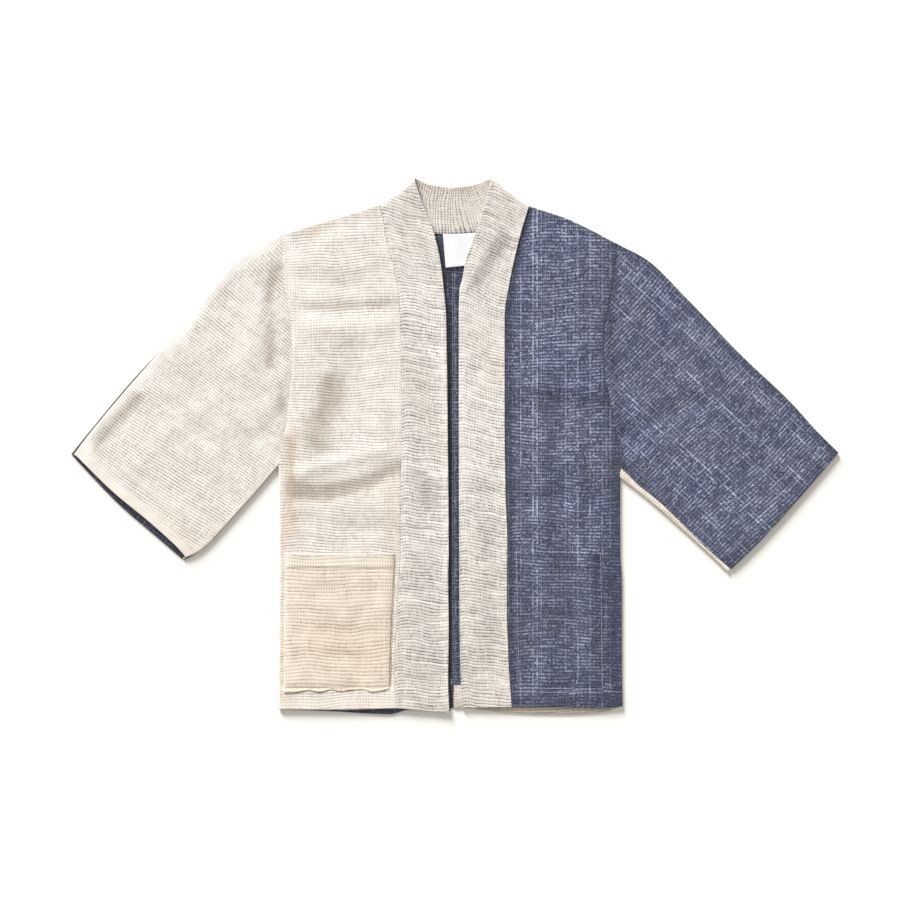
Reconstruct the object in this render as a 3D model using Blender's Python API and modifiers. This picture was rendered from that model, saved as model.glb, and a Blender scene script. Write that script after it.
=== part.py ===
"""Kimono jacket laid flat on its back, cut from one double-faced cloth.

Lengths are metres. Across runs from the centre-back seam towards the wearer's left (+X),
along from the hem up to the neck (+Y) and height from the floor (+Z). Right and left are
the wearer's. Each panel is a grid of points on the cloth's outer face, spanned between its
four edges, and Solidify thickens it towards the inside.
"""
import math
from bisect import bisect_right
from collections import namedtuple

import bmesh
import bpy
from mathutils import Vector

# Cloth and gaps
CLOTH = 0.0013
HEM_CLOTH = 0.0026
BAND_CLOTH = 0.0027
POCKET_CLOTH = 0.0013
POCKET_HEM_CLOTH = 0.0024
POCKET_EASE = 0.0001
LABEL_CLOTH = 0.0010
SEAM_GAP = 0.0003

# Heights of the outer face over the floor
ROLL = 0.0019
LIP = 0.0003
WRAP_ROLL = 0.0021
SEAM_TOP = 2 * (ROLL + LIP) + SEAM_GAP
FIELD_TOP = 0.0039
HEM_TOP = 2 * HEM_CLOTH + SEAM_GAP
ARMHOLE_TOP = 0.0050
SLEEVE_HEAD_TOP = 0.0041
FRONT_EDGE_TOP = 0.0043
LAPEL_REST = 0.0052
LAPEL_HEM_REST = 0.0058
RIGHT_FREE_REST = 0.0063
LEFT_FREE_REST = 0.0058

# Distances over which one height passes into another
FRONT_EDGE_RUN = 0.015
SHOULDER_RUN = 0.020
ARMHOLE_RUN = 0.012
ARMHOLE_END = 0.005
HEM_SIDE_RUN = 0.005
SLEEVE_RUN = 0.015
SIDE_ROLL_SHARE = 0.0517
NECK_ROLL_STEP = 0.010
NECK_ROLL_COUNT = 3
SLEEVE_HEAD_SHARE = 0.05
NEARBY = 0.005
CREASE_END = 0.12
CREASE_RUN = 0.30

# Hems, laps and the fold of the collar
HEM_DEPTH = 0.027
HEM_STEP = 0.007
LAP_WIDTH = 0.013
LAP_RISE = CLOTH + SEAM_GAP
LAP_RUN = 0.0035
SLEEVE_HEAD_EASE = 0.0012
BAND_SEWN_FOLD = 0.0034
BAND_FREE_FOLD = 0.0052
BAND_EDGE_DROP = 0.0008
BAND_EDGE_THIN = 0.4
BAND_RISE_START = 0.610
FAN_START = 0.560
FOLD_SEARCH = 0.03
FOLD_SEARCH_STEPS = 30
FOLD_CLEAR = 0.008

# Edges of the laid jacket, columns: across, along
RIGHT_FRONT_SEAM = (
    (-0.0788, 0.0030), (-0.0818, 0.0405), (-0.0763, 0.1830), (-0.0735, 0.2355), (-0.0735, 0.3150),
    (-0.0715, 0.4425), (-0.0735, 0.5880), (-0.0768, 0.6339), (-0.0818, 0.6549), (-0.0884, 0.6836),
    (-0.0951, 0.7065), (-0.0989, 0.7353), (-0.1057, 0.7581))
LEFT_FRONT_SEAM = (
    (0.0938, 0.0055), (0.0892, 0.0742), (0.0868, 0.1545), (0.0873, 0.2550), (0.0846, 0.3276),
    (0.0834, 0.4425), (0.0834, 0.5880), (0.0910, 0.6420), (0.1063, 0.7103), (0.1197, 0.7552))
RIGHT_BAND_EDGE = (
    (0.0000, -0.0030), (-0.0017, 0.0510), (-0.0008, 0.1170), (-0.0017, 0.2055), (-0.0008, 0.2355),
    (-0.0027, 0.4425), (-0.0047, 0.5880), (-0.0090, 0.6377), (-0.0147, 0.6798), (-0.0233, 0.7161),
    (-0.0405, 0.7601), (-0.0532, 0.7980))
LEFT_BAND_EDGE = (
    (0.0180, 0.0039), (0.0170, 0.0381), (0.0150, 0.1350), (0.0145, 0.2355), (0.0138, 0.4425),
    (0.0138, 0.5880), (0.0150, 0.6300), (0.0188, 0.6453), (0.0246, 0.6759), (0.0341, 0.7028),
    (0.0456, 0.7334), (0.0542, 0.7659), (0.0630, 0.7988))
NECK_SEAM = (
    (-0.1057, 0.7581), (-0.0398, 0.7170), (0.0037, 0.7140), (0.0488, 0.7170), (0.1197, 0.7552))
NECK_BAND_EDGE = (
    (-0.0532, 0.7980), (-0.0293, 0.7883), (0.0037, 0.7845), (0.0382, 0.7883), (0.0630, 0.7988))
RIGHT_SHOULDER = ((-0.2497, 0.7140), (-0.1845, 0.7335), (-0.1057, 0.7581))
LEFT_SHOULDER = ((0.1197, 0.7552), (0.1752, 0.7369), (0.2513, 0.6990))
RIGHT_OUTER = (
    (-0.2558, 0.0015), (-0.2545, 0.1620), (-0.2541, 0.2355), (-0.2552, 0.3480), (-0.2550, 0.3680),
    (-0.2533, 0.3773), (-0.2418, 0.4425), (-0.2342, 0.5385), (-0.2363, 0.5880), (-0.2457, 0.6420),
    (-0.2497, 0.7140))
LEFT_OUTER = (
    (0.2591, 0.0060), (0.2580, 0.0750), (0.2580, 0.1950), (0.2558, 0.2355), (0.2555, 0.3441),
    (0.2552, 0.3640), (0.2517, 0.4041), (0.2403, 0.4620), (0.2307, 0.5190), (0.2303, 0.5571),
    (0.2437, 0.6420), (0.2513, 0.6990))
RIGHT_FRONT_HEM = ((-0.2558, 0.0015), (-0.1792, 0.0008), (-0.0788, 0.0030))
LEFT_FRONT_HEM = ((0.0938, 0.0055), (0.1958, 0.0045), (0.2258, 0.0035), (0.2591, 0.0060))
RIGHT_BACK_HEM = (
    (-0.2558, 0.0015), (-0.1792, -0.0015), (-0.0892, -0.0060), (-0.0143, -0.0060), (0.0, -0.0015))
LEFT_BACK_HEM = (
    (0.0, 0.0030), (0.0173, 0.0030), (0.0833, -0.0030), (0.1658, -0.0053), (0.2258, -0.0030),
    (0.2591, 0.0060))
RIGHT_SLEEVE_TOP = (
    (-0.5617, 0.3835), (-0.5460, 0.4053), (-0.4695, 0.4971), (-0.3930, 0.5820), (-0.3164, 0.6735),
    (-0.2497, 0.7140))
RIGHT_SLEEVE_TOP_BACK = (
    (-0.5670, 0.3835), (-0.5468, 0.4062), (-0.4703, 0.4979), (-0.3932, 0.5822), (-0.3164, 0.6735),
    (-0.2497, 0.7140))
RIGHT_CUFF = ((-0.5617, 0.3835), (-0.4883, 0.3135), (-0.4163, 0.2595), (-0.3948, 0.2290))
RIGHT_CUFF_BACK = ((-0.5670, 0.3835), (-0.4962, 0.3096), (-0.4388, 0.2599), (-0.3983, 0.2250))
RIGHT_UNDERARM = ((-0.3948, 0.2290), (-0.3775, 0.2370), (-0.3164, 0.2985), (-0.2550, 0.3680))
RIGHT_UNDERARM_BACK = ((-0.3983, 0.2250), (-0.3775, 0.2370), (-0.3164, 0.2985), (-0.2550, 0.3680))
LEFT_SLEEVE_TOP = (
    (0.2513, 0.6990), (0.2958, 0.6750), (0.3493, 0.6234), (0.4337, 0.5355), (0.5101, 0.4627),
    (0.5483, 0.4206), (0.5827, 0.3861))
LEFT_CUFF = ((0.4221, 0.2115), (0.4642, 0.2523), (0.5101, 0.3019), (0.5827, 0.3861))
LEFT_CUFF_BACK = ((0.4170, 0.2063), (0.4642, 0.2523), (0.5101, 0.3019), (0.5827, 0.3861))
LEFT_UNDERARM = (
    (0.2552, 0.3640), (0.2805, 0.3441), (0.3188, 0.3135), (0.3572, 0.2752), (0.3952, 0.2370),
    (0.4221, 0.2115))
LEFT_UNDERARM_BACK = (
    (0.2555, 0.3441), (0.2918, 0.3173), (0.3379, 0.2790), (0.3801, 0.2407), (0.4103, 0.2130),
    (0.4170, 0.2063))

# Where the armholes end at the sides
RIGHT_UNDERARM_LEVEL = 0.3680
LEFT_UNDERARM_LEVEL = 0.3640
LEFT_WRAP_LEVEL = 0.3441
UNDERARM_SHARE = 0.483

# Largest creases on the outer face, columns: across and along at each end, half width, height
FRONT_RIGHT_CREASES = (
    (-0.0743, 0.372, -0.2318, 0.336, 0.015, 0.0022),
    (-0.2393, 0.423, -0.1568, 0.387, 0.012, 0.0016),
    (-0.2243, 0.618, -0.0743, 0.612, 0.016, 0.0008),
    (-0.1568, 0.540, -0.2243, 0.435, 0.018, -0.0006))
FRONT_LEFT_CREASES = (
    (0.2300, 0.390, 0.1100, 0.350, 0.016, 0.0014),
    (0.2200, 0.470, 0.1500, 0.540, 0.018, 0.0008),
    (0.1000, 0.620, 0.2100, 0.640, 0.018, -0.0005))
SLEEVE_RIGHT_CREASES = (
    (-0.5243, 0.420, -0.3743, 0.585, 0.012, -0.0006),
    (-0.2918, 0.615, -0.2640, 0.530, 0.012, 0.0014),
    (-0.2750, 0.480, -0.3500, 0.380, 0.016, 0.0010))
SLEEVE_LEFT_CREASES = (
    (0.2650, 0.600, 0.2560, 0.500, 0.012, 0.0014),
    (0.2750, 0.450, 0.3600, 0.370, 0.018, 0.0009),
    (0.3300, 0.560, 0.4700, 0.410, 0.020, -0.0005))

# Rows of the grids: heights below the underarm, then shares of the armhole
FRONT_LEVELS = (
    0.012, HEM_DEPTH, HEM_DEPTH + HEM_STEP, 0.065, 0.105, 0.150, 0.190, 0.214, 0.236, 0.270, 0.298,
    0.314, 0.327, 0.340, 0.353)
BACK_LEVELS = (HEM_DEPTH, HEM_DEPTH + HEM_STEP, 0.120, 0.236, 0.327, 0.340, 0.353)
ARMHOLE_SHARES = (0.04, 0.08, 0.12, 0.165, 0.23, 0.34, 0.45, 0.56, 0.67, 0.77, 0.86, 0.94)
ROLL_STEPS = (0.0, 0.5, 1.0, 2.0)
PLAIN_STEPS = (1.0,)
WRAP_STEPS = (0.0, 1 / 5, 2 / 5, 3 / 5, 4 / 5, 1.0)
LAP_STEPS = (0.0, 0.5, 1.0)
WRAP_ARC = 3 / 5

# Columns of the grids, as shares of the way out from the centre or along a sleeve
POCKET_RIGHT_SHARES = (0.047, 0.957)
POCKET_LEFT_SHARES = (0.065, 0.836)
FRONT_SHARES = (0.14, 0.25, 0.37, 0.49, 0.61, 0.73, 0.86)
SLEEVE_SHARES = (0.06, 0.13, 0.22, 0.32, 0.43, 0.54, 0.65, 0.76, 0.88)
SLEEVE_BACK_SHARES = (0.15, 0.35, 0.58, 0.80)
NECK_STOPS_RIGHT = (-0.0143, -0.0278, -0.0398, -0.0518, -0.0668, -0.0863, -0.1057)
NECK_STOPS_LEFT = (0.0143, 0.0293, 0.0420, 0.0560, 0.0720, 0.0940, 0.1197)
SHOULDER_STOPS = (0.178, 0.208, 0.235)

# Pockets, columns of the wavy lower edge: share across, height over the row of points below
POCKET_BOTTOM_LEVEL = HEM_DEPTH
POCKET_TOP_LEVEL = 0.236
POCKET_HEM_LEVEL = 0.214
POCKET_RIGHT_WAVE = ((0.0, 0.93), (0.2, 0.80), (0.4, 0.93), (0.6, 0.88), (0.8, 0.90), (1.0, 0.75))
POCKET_LEFT_WAVE = ((0.0, 0.80), (0.5, 0.90), (1.0, 0.80))

# Label, columns: across, along
LABEL_TOP_LEFT = (-0.0098, 0.7140)
LABEL_BOTTOM_LEFT = (-0.0056, 0.6630)
LABEL_BOTTOM_RIGHT = (0.0535, 0.6690)
LABEL_TOP_RIGHT = (0.0495, 0.7170)
LABEL_STEP_START = 0.0010
LABEL_STEP_END = 0.0120
LABEL_SHARES = (0.0, 0.09, 0.18, 0.36, 0.55, 0.77, 1.0)
LABEL_RISES = (0.0, 1 / 3, 2 / 3, 1.0)

BAND_SHARES = (0.0, 0.20, 0.42, 0.64, 0.85, 0.965, 1.0)
FOLD_TURNS = (0, 45, 90, 135, 180)

Edges = namedtuple("Edges", "near far low high")
Stop = namedtuple("Stop", "share step")
Fold = namedtuple("Fold", "sewn free outward")
Looks = namedtuple("Looks", "colour roughness")

CREAM = Looks((0.82, 0.76, 0.68), 0.92)
INDIGO = Looks((0.125, 0.140, 0.215), 0.92)
BAND_GREY = Looks((0.68, 0.63, 0.56), 0.93)
POCKET_CREAM = Looks((0.78, 0.68, 0.57), 0.92)
LABEL_WHITE = Looks((0.90, 0.90, 0.91), 0.75)


# Reading tables

def smooth_read(rows, place):
    """Value at a place in rows of (place, value), smooth and with no overshoot."""
    places = [row[0] for row in rows]
    values = [row[1] for row in rows]
    last = len(rows) - 1
    index = min(max(bisect_right(places, place) - 1, 0), last - 1)
    secants = [(values[i + 1] - values[i]) / (places[i + 1] - places[i]) for i in range(last)]

    def slope(i):
        if i == 0:
            return secants[0]
        if i == last:
            return secants[-1]
        before, after = secants[i - 1], secants[i]
        if before * after <= 0:
            return 0.0
        return 2 * before * after / (before + after)

    width = places[index + 1] - places[index]
    share = (place - places[index]) / width
    back = 1 - share
    return (values[index] * back * back * (1 + 2 * share)
            + values[index + 1] * share * share * (1 + 2 * back)
            + slope(index) * width * share * back * back
            - slope(index + 1) * width * share * share * back)


def along_at(table, across):
    """Along position of an edge at an across position."""
    return smooth_read(table, across)


def across_at(table, along):
    """Across position of an edge at an along position."""
    return smooth_read([(row[1], row[0]) for row in table], along)


def ease(value):
    """Smooth step from 0 to 1."""
    value = min(max(value, 0.0), 1.0)
    return value * value * (3 - 2 * value)


def mix(start, end, share):
    """Value part of the way from start to end."""
    return start + (end - start) * share


# Spanning a panel between its edges

def span(edges, u, v):
    """Point of the panel, in plan, at a share across and a share along."""
    sides = edges.near(v).lerp(edges.far(v), u)
    ends = edges.low(u).lerp(edges.high(u), v)
    low = edges.near(0).lerp(edges.far(0), u)
    high = edges.near(1).lerp(edges.far(1), u)
    return sides + ends - low.lerp(high, v)


def run_at(edges, u, v, du, dv):
    """How fast the panel's points move with the share across or the share along."""
    start_u = min(u, 1.0 - du)
    start_v = min(v, 1.0 - dv)
    return (span(edges, start_u + du, start_v + dv) - span(edges, start_u, start_v)) / (du + dv)


def stops(shares, low_steps, high_steps):
    """Grid stops from the low end to the high end, with the steps of each edge."""
    return ([Stop(0.0, step) for step in reversed(low_steps)]
            + [Stop(share, None) for share in shares]
            + [Stop(1.0, step) for step in high_steps])


def square_length(run, edge, place):
    """Length of a grid line's run, measured square to the edge that it ends on."""
    before = edge(max(place - NEARBY, 0.0))
    after = edge(min(place + NEARBY, 1.0))
    tangent = (after - before).normalized()
    return abs(run.x * tangent.y - run.y * tangent.x)


def settle(stop, low, high, other, run):
    """Share of the way and rise of the face, for a stop on a grid line; low and high are
    the edges that the line runs between, each with its finish."""
    if stop.step is None:
        return stop.share, 0.0
    edge, finish = high if stop.share else low
    inset, rise = finish(stop.step, other)
    share = inset / square_length(run, edge, other)
    return (1 - share if stop.share else share), rise


def open_edge(step, other):
    """Hem or cuff, which ends on its outline."""
    return 0.0, 0.0


def seam_edge(step, other):
    """Seam to a neighbour lying beside the panel."""
    return SEAM_GAP / 2, 0.0


def rolled(step, turn):
    """Inset from the outline and rise of a pressed edge, at a step over its strip: flat cloth
    and a turn up to step 1, and the straight lip up to step 2."""
    strip = ROLL * math.pi / 2
    flat = strip - ROLL * turn
    gone = min(step, 1.0) * strip
    lip = max(step - 1.0, 0.0) * LIP
    angle = max(gone - flat, 0.0) / ROLL
    reach = flat + ROLL * math.sin(turn) + LIP * math.cos(turn)
    inset = reach - min(gone, flat) - ROLL * math.sin(angle) - lip * math.cos(turn)
    return inset, ROLL * (1 - math.cos(angle)) + lip * math.sin(turn)


def rolled_edge(step, other):
    """Seam to the panel on the other side of the jacket, rolled through a right angle."""
    return rolled(step, math.pi / 2)


def partly_rolled(step, share):
    """Edge that passes from a plain seam at share 0 to a full roll at share 1."""
    full = 1 - (1 - min(max(share, 0.0), 1.0)) ** 2
    inset, rise = rolled(step, full * math.pi / 2)
    return inset + (1 - full) * SEAM_GAP / 2, rise


def outer_edge(step, other):
    """Body's outer edge: rolled at the side and plain at the armhole."""
    return partly_rolled(step, (UNDERARM_SHARE - other) / SIDE_ROLL_SHARE)


def sleeve_head(step, other):
    """Seam to the armhole, eased where the sleeve's rolled top meets the shoulder's."""
    head = ease(1 - (1 - other) / SLEEVE_HEAD_SHARE)
    return SEAM_GAP / 2 + SLEEVE_HEAD_EASE * head, 0.0


def lapped_edge(step, other):
    """Centre-back seam, whose allowance steps up and lies over the other half."""
    if step == 0.0:
        return LAP_RUN, 0.0
    if step < 1.0:
        return 0.0, LAP_RISE
    return -LAP_WIDTH, LAP_RISE


def top_edge(neck_share, run_share):
    """Top of a back panel: plain at the neck and rolled at the shoulder."""
    def finish(step, other):
        return partly_rolled(step, (other - neck_share) / run_share)
    return finish


def crease_height(creases, across, along):
    """Height of the soft ridges and troughs at a point."""
    height = 0.0
    for start_x, start_y, end_x, end_y, half_width, tall in creases:
        run = Vector((end_x - start_x, end_y - start_y))
        offset = Vector((across - start_x, along - start_y))
        share = offset.dot(run) / run.length_squared
        aside = abs(offset.x * run.y - offset.y * run.x) / run.length
        ends = ease((share + CREASE_END) / CREASE_RUN) * ease((1 + CREASE_END - share) / CREASE_RUN)
        height += tall * ends * math.exp(-(aside / half_width) ** 2)
    return height


def panel_points(edges, finishes, columns, rows, face):
    """Rows of points on the outer face; face gives the height from place and distances."""
    grid = []
    for row in rows:
        line = []
        for column in columns:
            width = edges.far(row.share) - edges.near(row.share)
            length = edges.high(column.share) - edges.low(column.share)
            across_run = run_at(edges, column.share, row.share, NEARBY, 0.0)
            along_run = run_at(edges, column.share, row.share, 0.0, NEARBY)
            u, side_rise = settle(column, (edges.near, finishes.near), (edges.far, finishes.far),
                                  row.share, across_run)
            v, end_rise = settle(row, (edges.low, finishes.low), (edges.high, finishes.high),
                                 column.share, along_run)
            spot = span(edges, u, v)
            away = Edges(u * width.length, (1 - u) * width.length,
                         v * length.length, (1 - v) * length.length)
            line.append(face(spot, away, side_rise + end_rise))
        grid.append(line)
    return grid


# Making solids

def new_material(name, looks):
    """Cloth material in the piece's own colour."""
    material = bpy.data.materials.new(name)
    material.use_nodes = True
    shader = material.node_tree.nodes["Principled BSDF"]
    shader.inputs["Base Color"].default_value = (*looks.colour, 1.0)
    shader.inputs["Roughness"].default_value = looks.roughness
    shader.inputs["Metallic"].default_value = 0.0
    return material


def cloth_solid(name, grid, looks, thick, thin_share, weights, faces_up):
    """Closed cloth wall: a grid laid on the points, thickened away from its outer face."""
    rows = len(grid) - 1
    columns = len(grid[0]) - 1
    mesh = bpy.data.meshes.new(name)
    build = bmesh.new()
    bmesh.ops.create_grid(build, x_segments=columns, y_segments=rows, size=0.5)
    layer = build.verts.layers.deform.verify()
    for vertex in build.verts:
        column = round((vertex.co.x + 0.5) * columns)
        row = round((vertex.co.y + 0.5) * rows)
        vertex.co = grid[row][column]
        vertex[layer][0] = weights[row][column]
    build.normal_update()
    first = max(build.faces, key=lambda face: abs(face.normal.z) * face.calc_area())
    if (first.normal.z > 0) != faces_up:
        bmesh.ops.reverse_faces(build, faces=build.faces)
    build.to_mesh(mesh)
    build.free()
    piece = bpy.data.objects.new(name, mesh)
    piece.vertex_groups.new(name="thick")
    wall = piece.modifiers.new("Wall", "SOLIDIFY")
    wall.thickness = thick
    wall.offset = -1.0
    wall.use_even_offset = True
    wall.use_quality_normals = True
    wall.vertex_group = "thick"
    wall.thickness_vertex_group = thin_share
    mesh.materials.append(new_material(name, looks))
    mesh.shade_smooth()
    return piece


def hem_weights(grid, hem_rows, keep_thin):
    """Weight 1 where the hem doubles the cloth, and 0 where it is single."""
    return [[1.0 if row < hem_rows and not keep_thin(column) else 0.0 for column in range(len(line))]
            for row, line in enumerate(grid)]


# Body panels

def body_rows(levels, front_seam_top, high_steps):
    """Stops from the hem to the shoulder, with the armhole's shares above the underarm."""
    below = [level / front_seam_top for level in levels]
    above = [mix(UNDERARM_SHARE, 1.0, share) for share in ARMHOLE_SHARES]
    return stops(below + [UNDERARM_SHARE] + above, PLAIN_STEPS, high_steps)


def outer_line(table, underarm_level):
    """Outer edge of a body panel, its side below the underarm and its armhole above."""
    hem = table[0][1]
    top = table[-1][1]

    def point(share):
        if share <= UNDERARM_SHARE:
            along = mix(hem, underarm_level, share / UNDERARM_SHARE)
        else:
            along = mix(underarm_level, top, (share - UNDERARM_SHARE) / (1 - UNDERARM_SHARE))
        return Vector((across_at(table, along), along))
    return point


def seam_line(table):
    """Edge read at shares of its height."""
    def point(share):
        along = mix(table[0][1], table[-1][1], share)
        return Vector((across_at(table, along), along))
    return point


def level_line(table, start, end):
    """Edge read at shares of the way across, from start to end."""
    def point(share):
        across = mix(start, end, share)
        return Vector((across, along_at(table, across)))
    return point


def front_edges(seam, outer, hem, shoulder, underarm_level):
    """Edges of a front panel, near at the collar and far at the side."""
    return Edges(
        seam_line(seam),
        outer_line(outer, underarm_level),
        level_line(hem, seam[0][0], outer[0][0]),
        level_line(shoulder, seam[-1][0], outer[-1][0]))


def front_face(creases):
    """Height of a front panel's outer face."""
    def face(spot, away, rise):
        top = FIELD_TOP + crease_height(creases, spot.x, spot.y)
        top = mix(FRONT_EDGE_TOP, top, ease(away.near / FRONT_EDGE_RUN))
        top = mix(SEAM_TOP, top, ease((away.high - ROLL) / SHOULDER_RUN))
        at_side = spot.y < RIGHT_UNDERARM_LEVEL
        side_top = SEAM_TOP if at_side else ARMHOLE_TOP
        side_top = mix(SEAM_TOP, side_top, ease((away.high - ARMHOLE_END) / FRONT_EDGE_RUN))
        top = mix(side_top, top, ease((away.far - ROLL) / ARMHOLE_RUN))
        hem = 1.0 if away.low <= HEM_DEPTH + HEM_STEP / 2 else 0.0
        hem_top = mix(SEAM_TOP, HEM_TOP, ease((away.far - ROLL) / HEM_SIDE_RUN))
        top = mix(top, hem_top, hem)
        return Vector((spot.x, spot.y, top - rise))
    return face


def front_shares(pocket_shares):
    """Columns of a front panel, with its pocket's sides among them."""
    return sorted(FRONT_SHARES + pocket_shares)


def front_grid(seam, outer, hem, shoulder, underarm_level, creases, pocket_shares):
    """Points of a front panel."""
    edges = front_edges(seam, outer, hem, shoulder, underarm_level)
    finishes = Edges(seam_edge, outer_edge, open_edge, rolled_edge)
    columns = stops(front_shares(pocket_shares), PLAIN_STEPS, ROLL_STEPS)
    rows = body_rows(FRONT_LEVELS, seam[-1][1], ROLL_STEPS)
    return panel_points(edges, finishes, columns, rows, front_face(creases))


def front_solid(name, grid, looks):
    """Front panel, its hem doubled but for the rolled side."""
    side_columns = len(grid[0]) - len(ROLL_STEPS)
    hem_rows = 1 + FRONT_LEVELS.index(HEM_DEPTH) + 1
    weights = hem_weights(grid, hem_rows, lambda column: column >= side_columns)
    return cloth_solid(name, grid, looks, HEM_CLOTH, CLOTH / HEM_CLOTH, weights, True)


def back_edges(outer, hem, shoulder, underarm_level, side):
    """Edges of a back panel, near at the centre-back seam and far at the side."""
    neck_point = NECK_SEAM[0][0] if side < 0 else NECK_SEAM[-1][0]
    neck_centre = along_at(NECK_SEAM, 0.0)
    hem_centre = along_at(hem, 0.0)

    def high(share):
        across = mix(0.0, outer[-1][0], share)
        table = NECK_SEAM if abs(across) <= abs(neck_point) else shoulder
        return Vector((across, along_at(table, across)))

    def near(share):
        return Vector((0.0, mix(hem_centre, neck_centre, share)))
    return Edges(near, outer_line(outer, underarm_level), level_line(hem, 0.0, outer[0][0]), high)


def back_grid(outer, hem, shoulder, underarm_level, neck_stops, near_finish, near_steps):
    """Points of a back panel, flat on the floor."""
    side = math.copysign(1, outer[0][0])
    edges = back_edges(outer, hem, shoulder, underarm_level, side)
    reach = abs(outer[-1][0])
    neck = abs(neck_stops[-1])
    passing = [neck + NECK_ROLL_STEP * (count + 1) for count in range(NECK_ROLL_COUNT)]
    places = [abs(stop) for stop in neck_stops] + passing + list(SHOULDER_STOPS)
    top = top_edge(neck / reach, NECK_ROLL_COUNT * NECK_ROLL_STEP / reach)
    finishes = Edges(near_finish, outer_edge, open_edge, top)
    columns = stops([place / reach for place in places], near_steps, ROLL_STEPS)
    rows = body_rows(BACK_LEVELS, NECK_SEAM[0][1], ROLL_STEPS)
    return panel_points(edges, finishes, columns, rows, floor_face)


def floor_face(spot, away, rise):
    """Outer face of a back panel, which lies on the floor and rises at its rolled seams."""
    return Vector((spot.x, spot.y, rise))


def back_solid(name, grid, looks, centre_columns):
    """Back panel, its hem doubled between the lapped centre seam and the rolled side."""
    side_columns = len(grid[0]) - len(ROLL_STEPS)
    hem_rows = 1 + BACK_LEVELS.index(HEM_DEPTH) + 1

    def keep_thin(column):
        return column >= side_columns or column < centre_columns
    weights = hem_weights(grid, hem_rows, keep_thin)
    return cloth_solid(name, grid, looks, HEM_CLOTH, CLOTH / HEM_CLOTH, weights, False)


# Sleeves

def sleeve_edges(outer, underarm_level, cuff, underarm, top):
    """Edges of a sleeve half, near at the armhole and far at the cuff."""
    side = math.copysign(1, outer[0][0])
    armhole_top = outer[-1][1]

    def near(share):
        along = mix(underarm_level, armhole_top, share)
        return Vector((across_at(outer, along), along))

    cuff_low = min(cuff, key=lambda row: row[1])
    cuff_high = max(cuff, key=lambda row: row[1])
    armhole_low = side * abs(across_at(outer, underarm_level))
    return Edges(
        near,
        level_line(cuff, cuff_low[0], cuff_high[0]),
        level_line(underarm, armhole_low, cuff_low[0]),
        level_line(top, outer[-1][0], cuff_high[0]))


def sleeve_face(creases):
    """Height of a sleeve's front half."""
    def face(spot, away, rise):
        top = FIELD_TOP + crease_height(creases, spot.x, spot.y)
        top = mix(SLEEVE_HEAD_TOP, top, ease(away.near / SLEEVE_RUN))
        top = mix(SEAM_TOP, top, ease((away.high - ROLL) / SLEEVE_RUN))
        top = mix(SEAM_TOP, top, ease((away.low - ROLL) / SLEEVE_RUN))
        return Vector((spot.x, spot.y, top - rise))
    return face


def wrapped_rows(grid, seam_points, columns):
    """Lower rows of a sleeve back that rolls round the underarm up to the front half's seam."""
    outline = grid[0]
    rows = []
    for step in reversed(WRAP_STEPS):
        line = []
        for index, column in enumerate(columns):
            start = outline[index].xy
            reach = seam_points(column.share) - start
            turn = math.pi * min(step / WRAP_ARC, 1.0)
            run = max(step - WRAP_ARC, 0.0) / (1 - WRAP_ARC)
            inset = WRAP_ROLL * (1 - math.sin(turn)) + run * (reach.length - SEAM_GAP - WRAP_ROLL)
            spot = start + reach.normalized() * inset
            line.append(Vector((spot.x, spot.y, WRAP_ROLL * (1 - math.cos(turn)))))
        rows.append(line)
    return rows + grid[1:]


def even_weights(grid, value):
    """The same weight at every point."""
    return [[value] * len(line) for line in grid]


def sleeve_solid(name, grid, looks, faces_up):
    """Sleeve half of single cloth."""
    return cloth_solid(name, grid, looks, CLOTH, 1.0, even_weights(grid, 1.0), faces_up)


def make_sleeves():
    """The four sleeve halves."""
    columns = stops(SLEEVE_SHARES, PLAIN_STEPS, PLAIN_STEPS)
    back_columns = stops(SLEEVE_BACK_SHARES, PLAIN_STEPS, PLAIN_STEPS)
    both_rolled = stops(ARMHOLE_SHARES, ROLL_STEPS, ROLL_STEPS)
    top_rolled = stops(ARMHOLE_SHARES, PLAIN_STEPS, ROLL_STEPS)
    rolled_ends = Edges(sleeve_head, open_edge, rolled_edge, rolled_edge)
    seamed_low = Edges(sleeve_head, open_edge, seam_edge, rolled_edge)

    edges = sleeve_edges(RIGHT_OUTER, RIGHT_UNDERARM_LEVEL, RIGHT_CUFF, RIGHT_UNDERARM, RIGHT_SLEEVE_TOP)
    face = sleeve_face(SLEEVE_RIGHT_CREASES)
    right_front = panel_points(edges, rolled_ends, columns, both_rolled, face)

    edges = sleeve_edges(RIGHT_OUTER, RIGHT_UNDERARM_LEVEL, RIGHT_CUFF_BACK, RIGHT_UNDERARM_BACK,
                         RIGHT_SLEEVE_TOP_BACK)
    right_back = panel_points(edges, rolled_ends, back_columns, both_rolled, floor_face)

    edges = sleeve_edges(LEFT_OUTER, LEFT_UNDERARM_LEVEL, LEFT_CUFF, LEFT_UNDERARM, LEFT_SLEEVE_TOP)
    face = sleeve_face(SLEEVE_LEFT_CREASES)
    left_front = panel_points(edges, seamed_low, columns, top_rolled, face)

    back_edge = sleeve_edges(LEFT_OUTER, LEFT_WRAP_LEVEL, LEFT_CUFF_BACK, LEFT_UNDERARM_BACK, LEFT_SLEEVE_TOP)
    open_low = Edges(sleeve_head, open_edge, open_edge, rolled_edge)
    flat = panel_points(back_edge, open_low, back_columns, top_rolled, floor_face)
    left_back = wrapped_rows(flat, edges.low, back_columns)

    return [
        sleeve_solid("sleeve_right_front", right_front, CREAM, True),
        sleeve_solid("sleeve_right_back", right_back, INDIGO, False),
        sleeve_solid("sleeve_left_front", left_front, INDIGO, True),
        sleeve_solid("sleeve_left_back", left_back, CREAM, False)]


# Collar band

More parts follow.
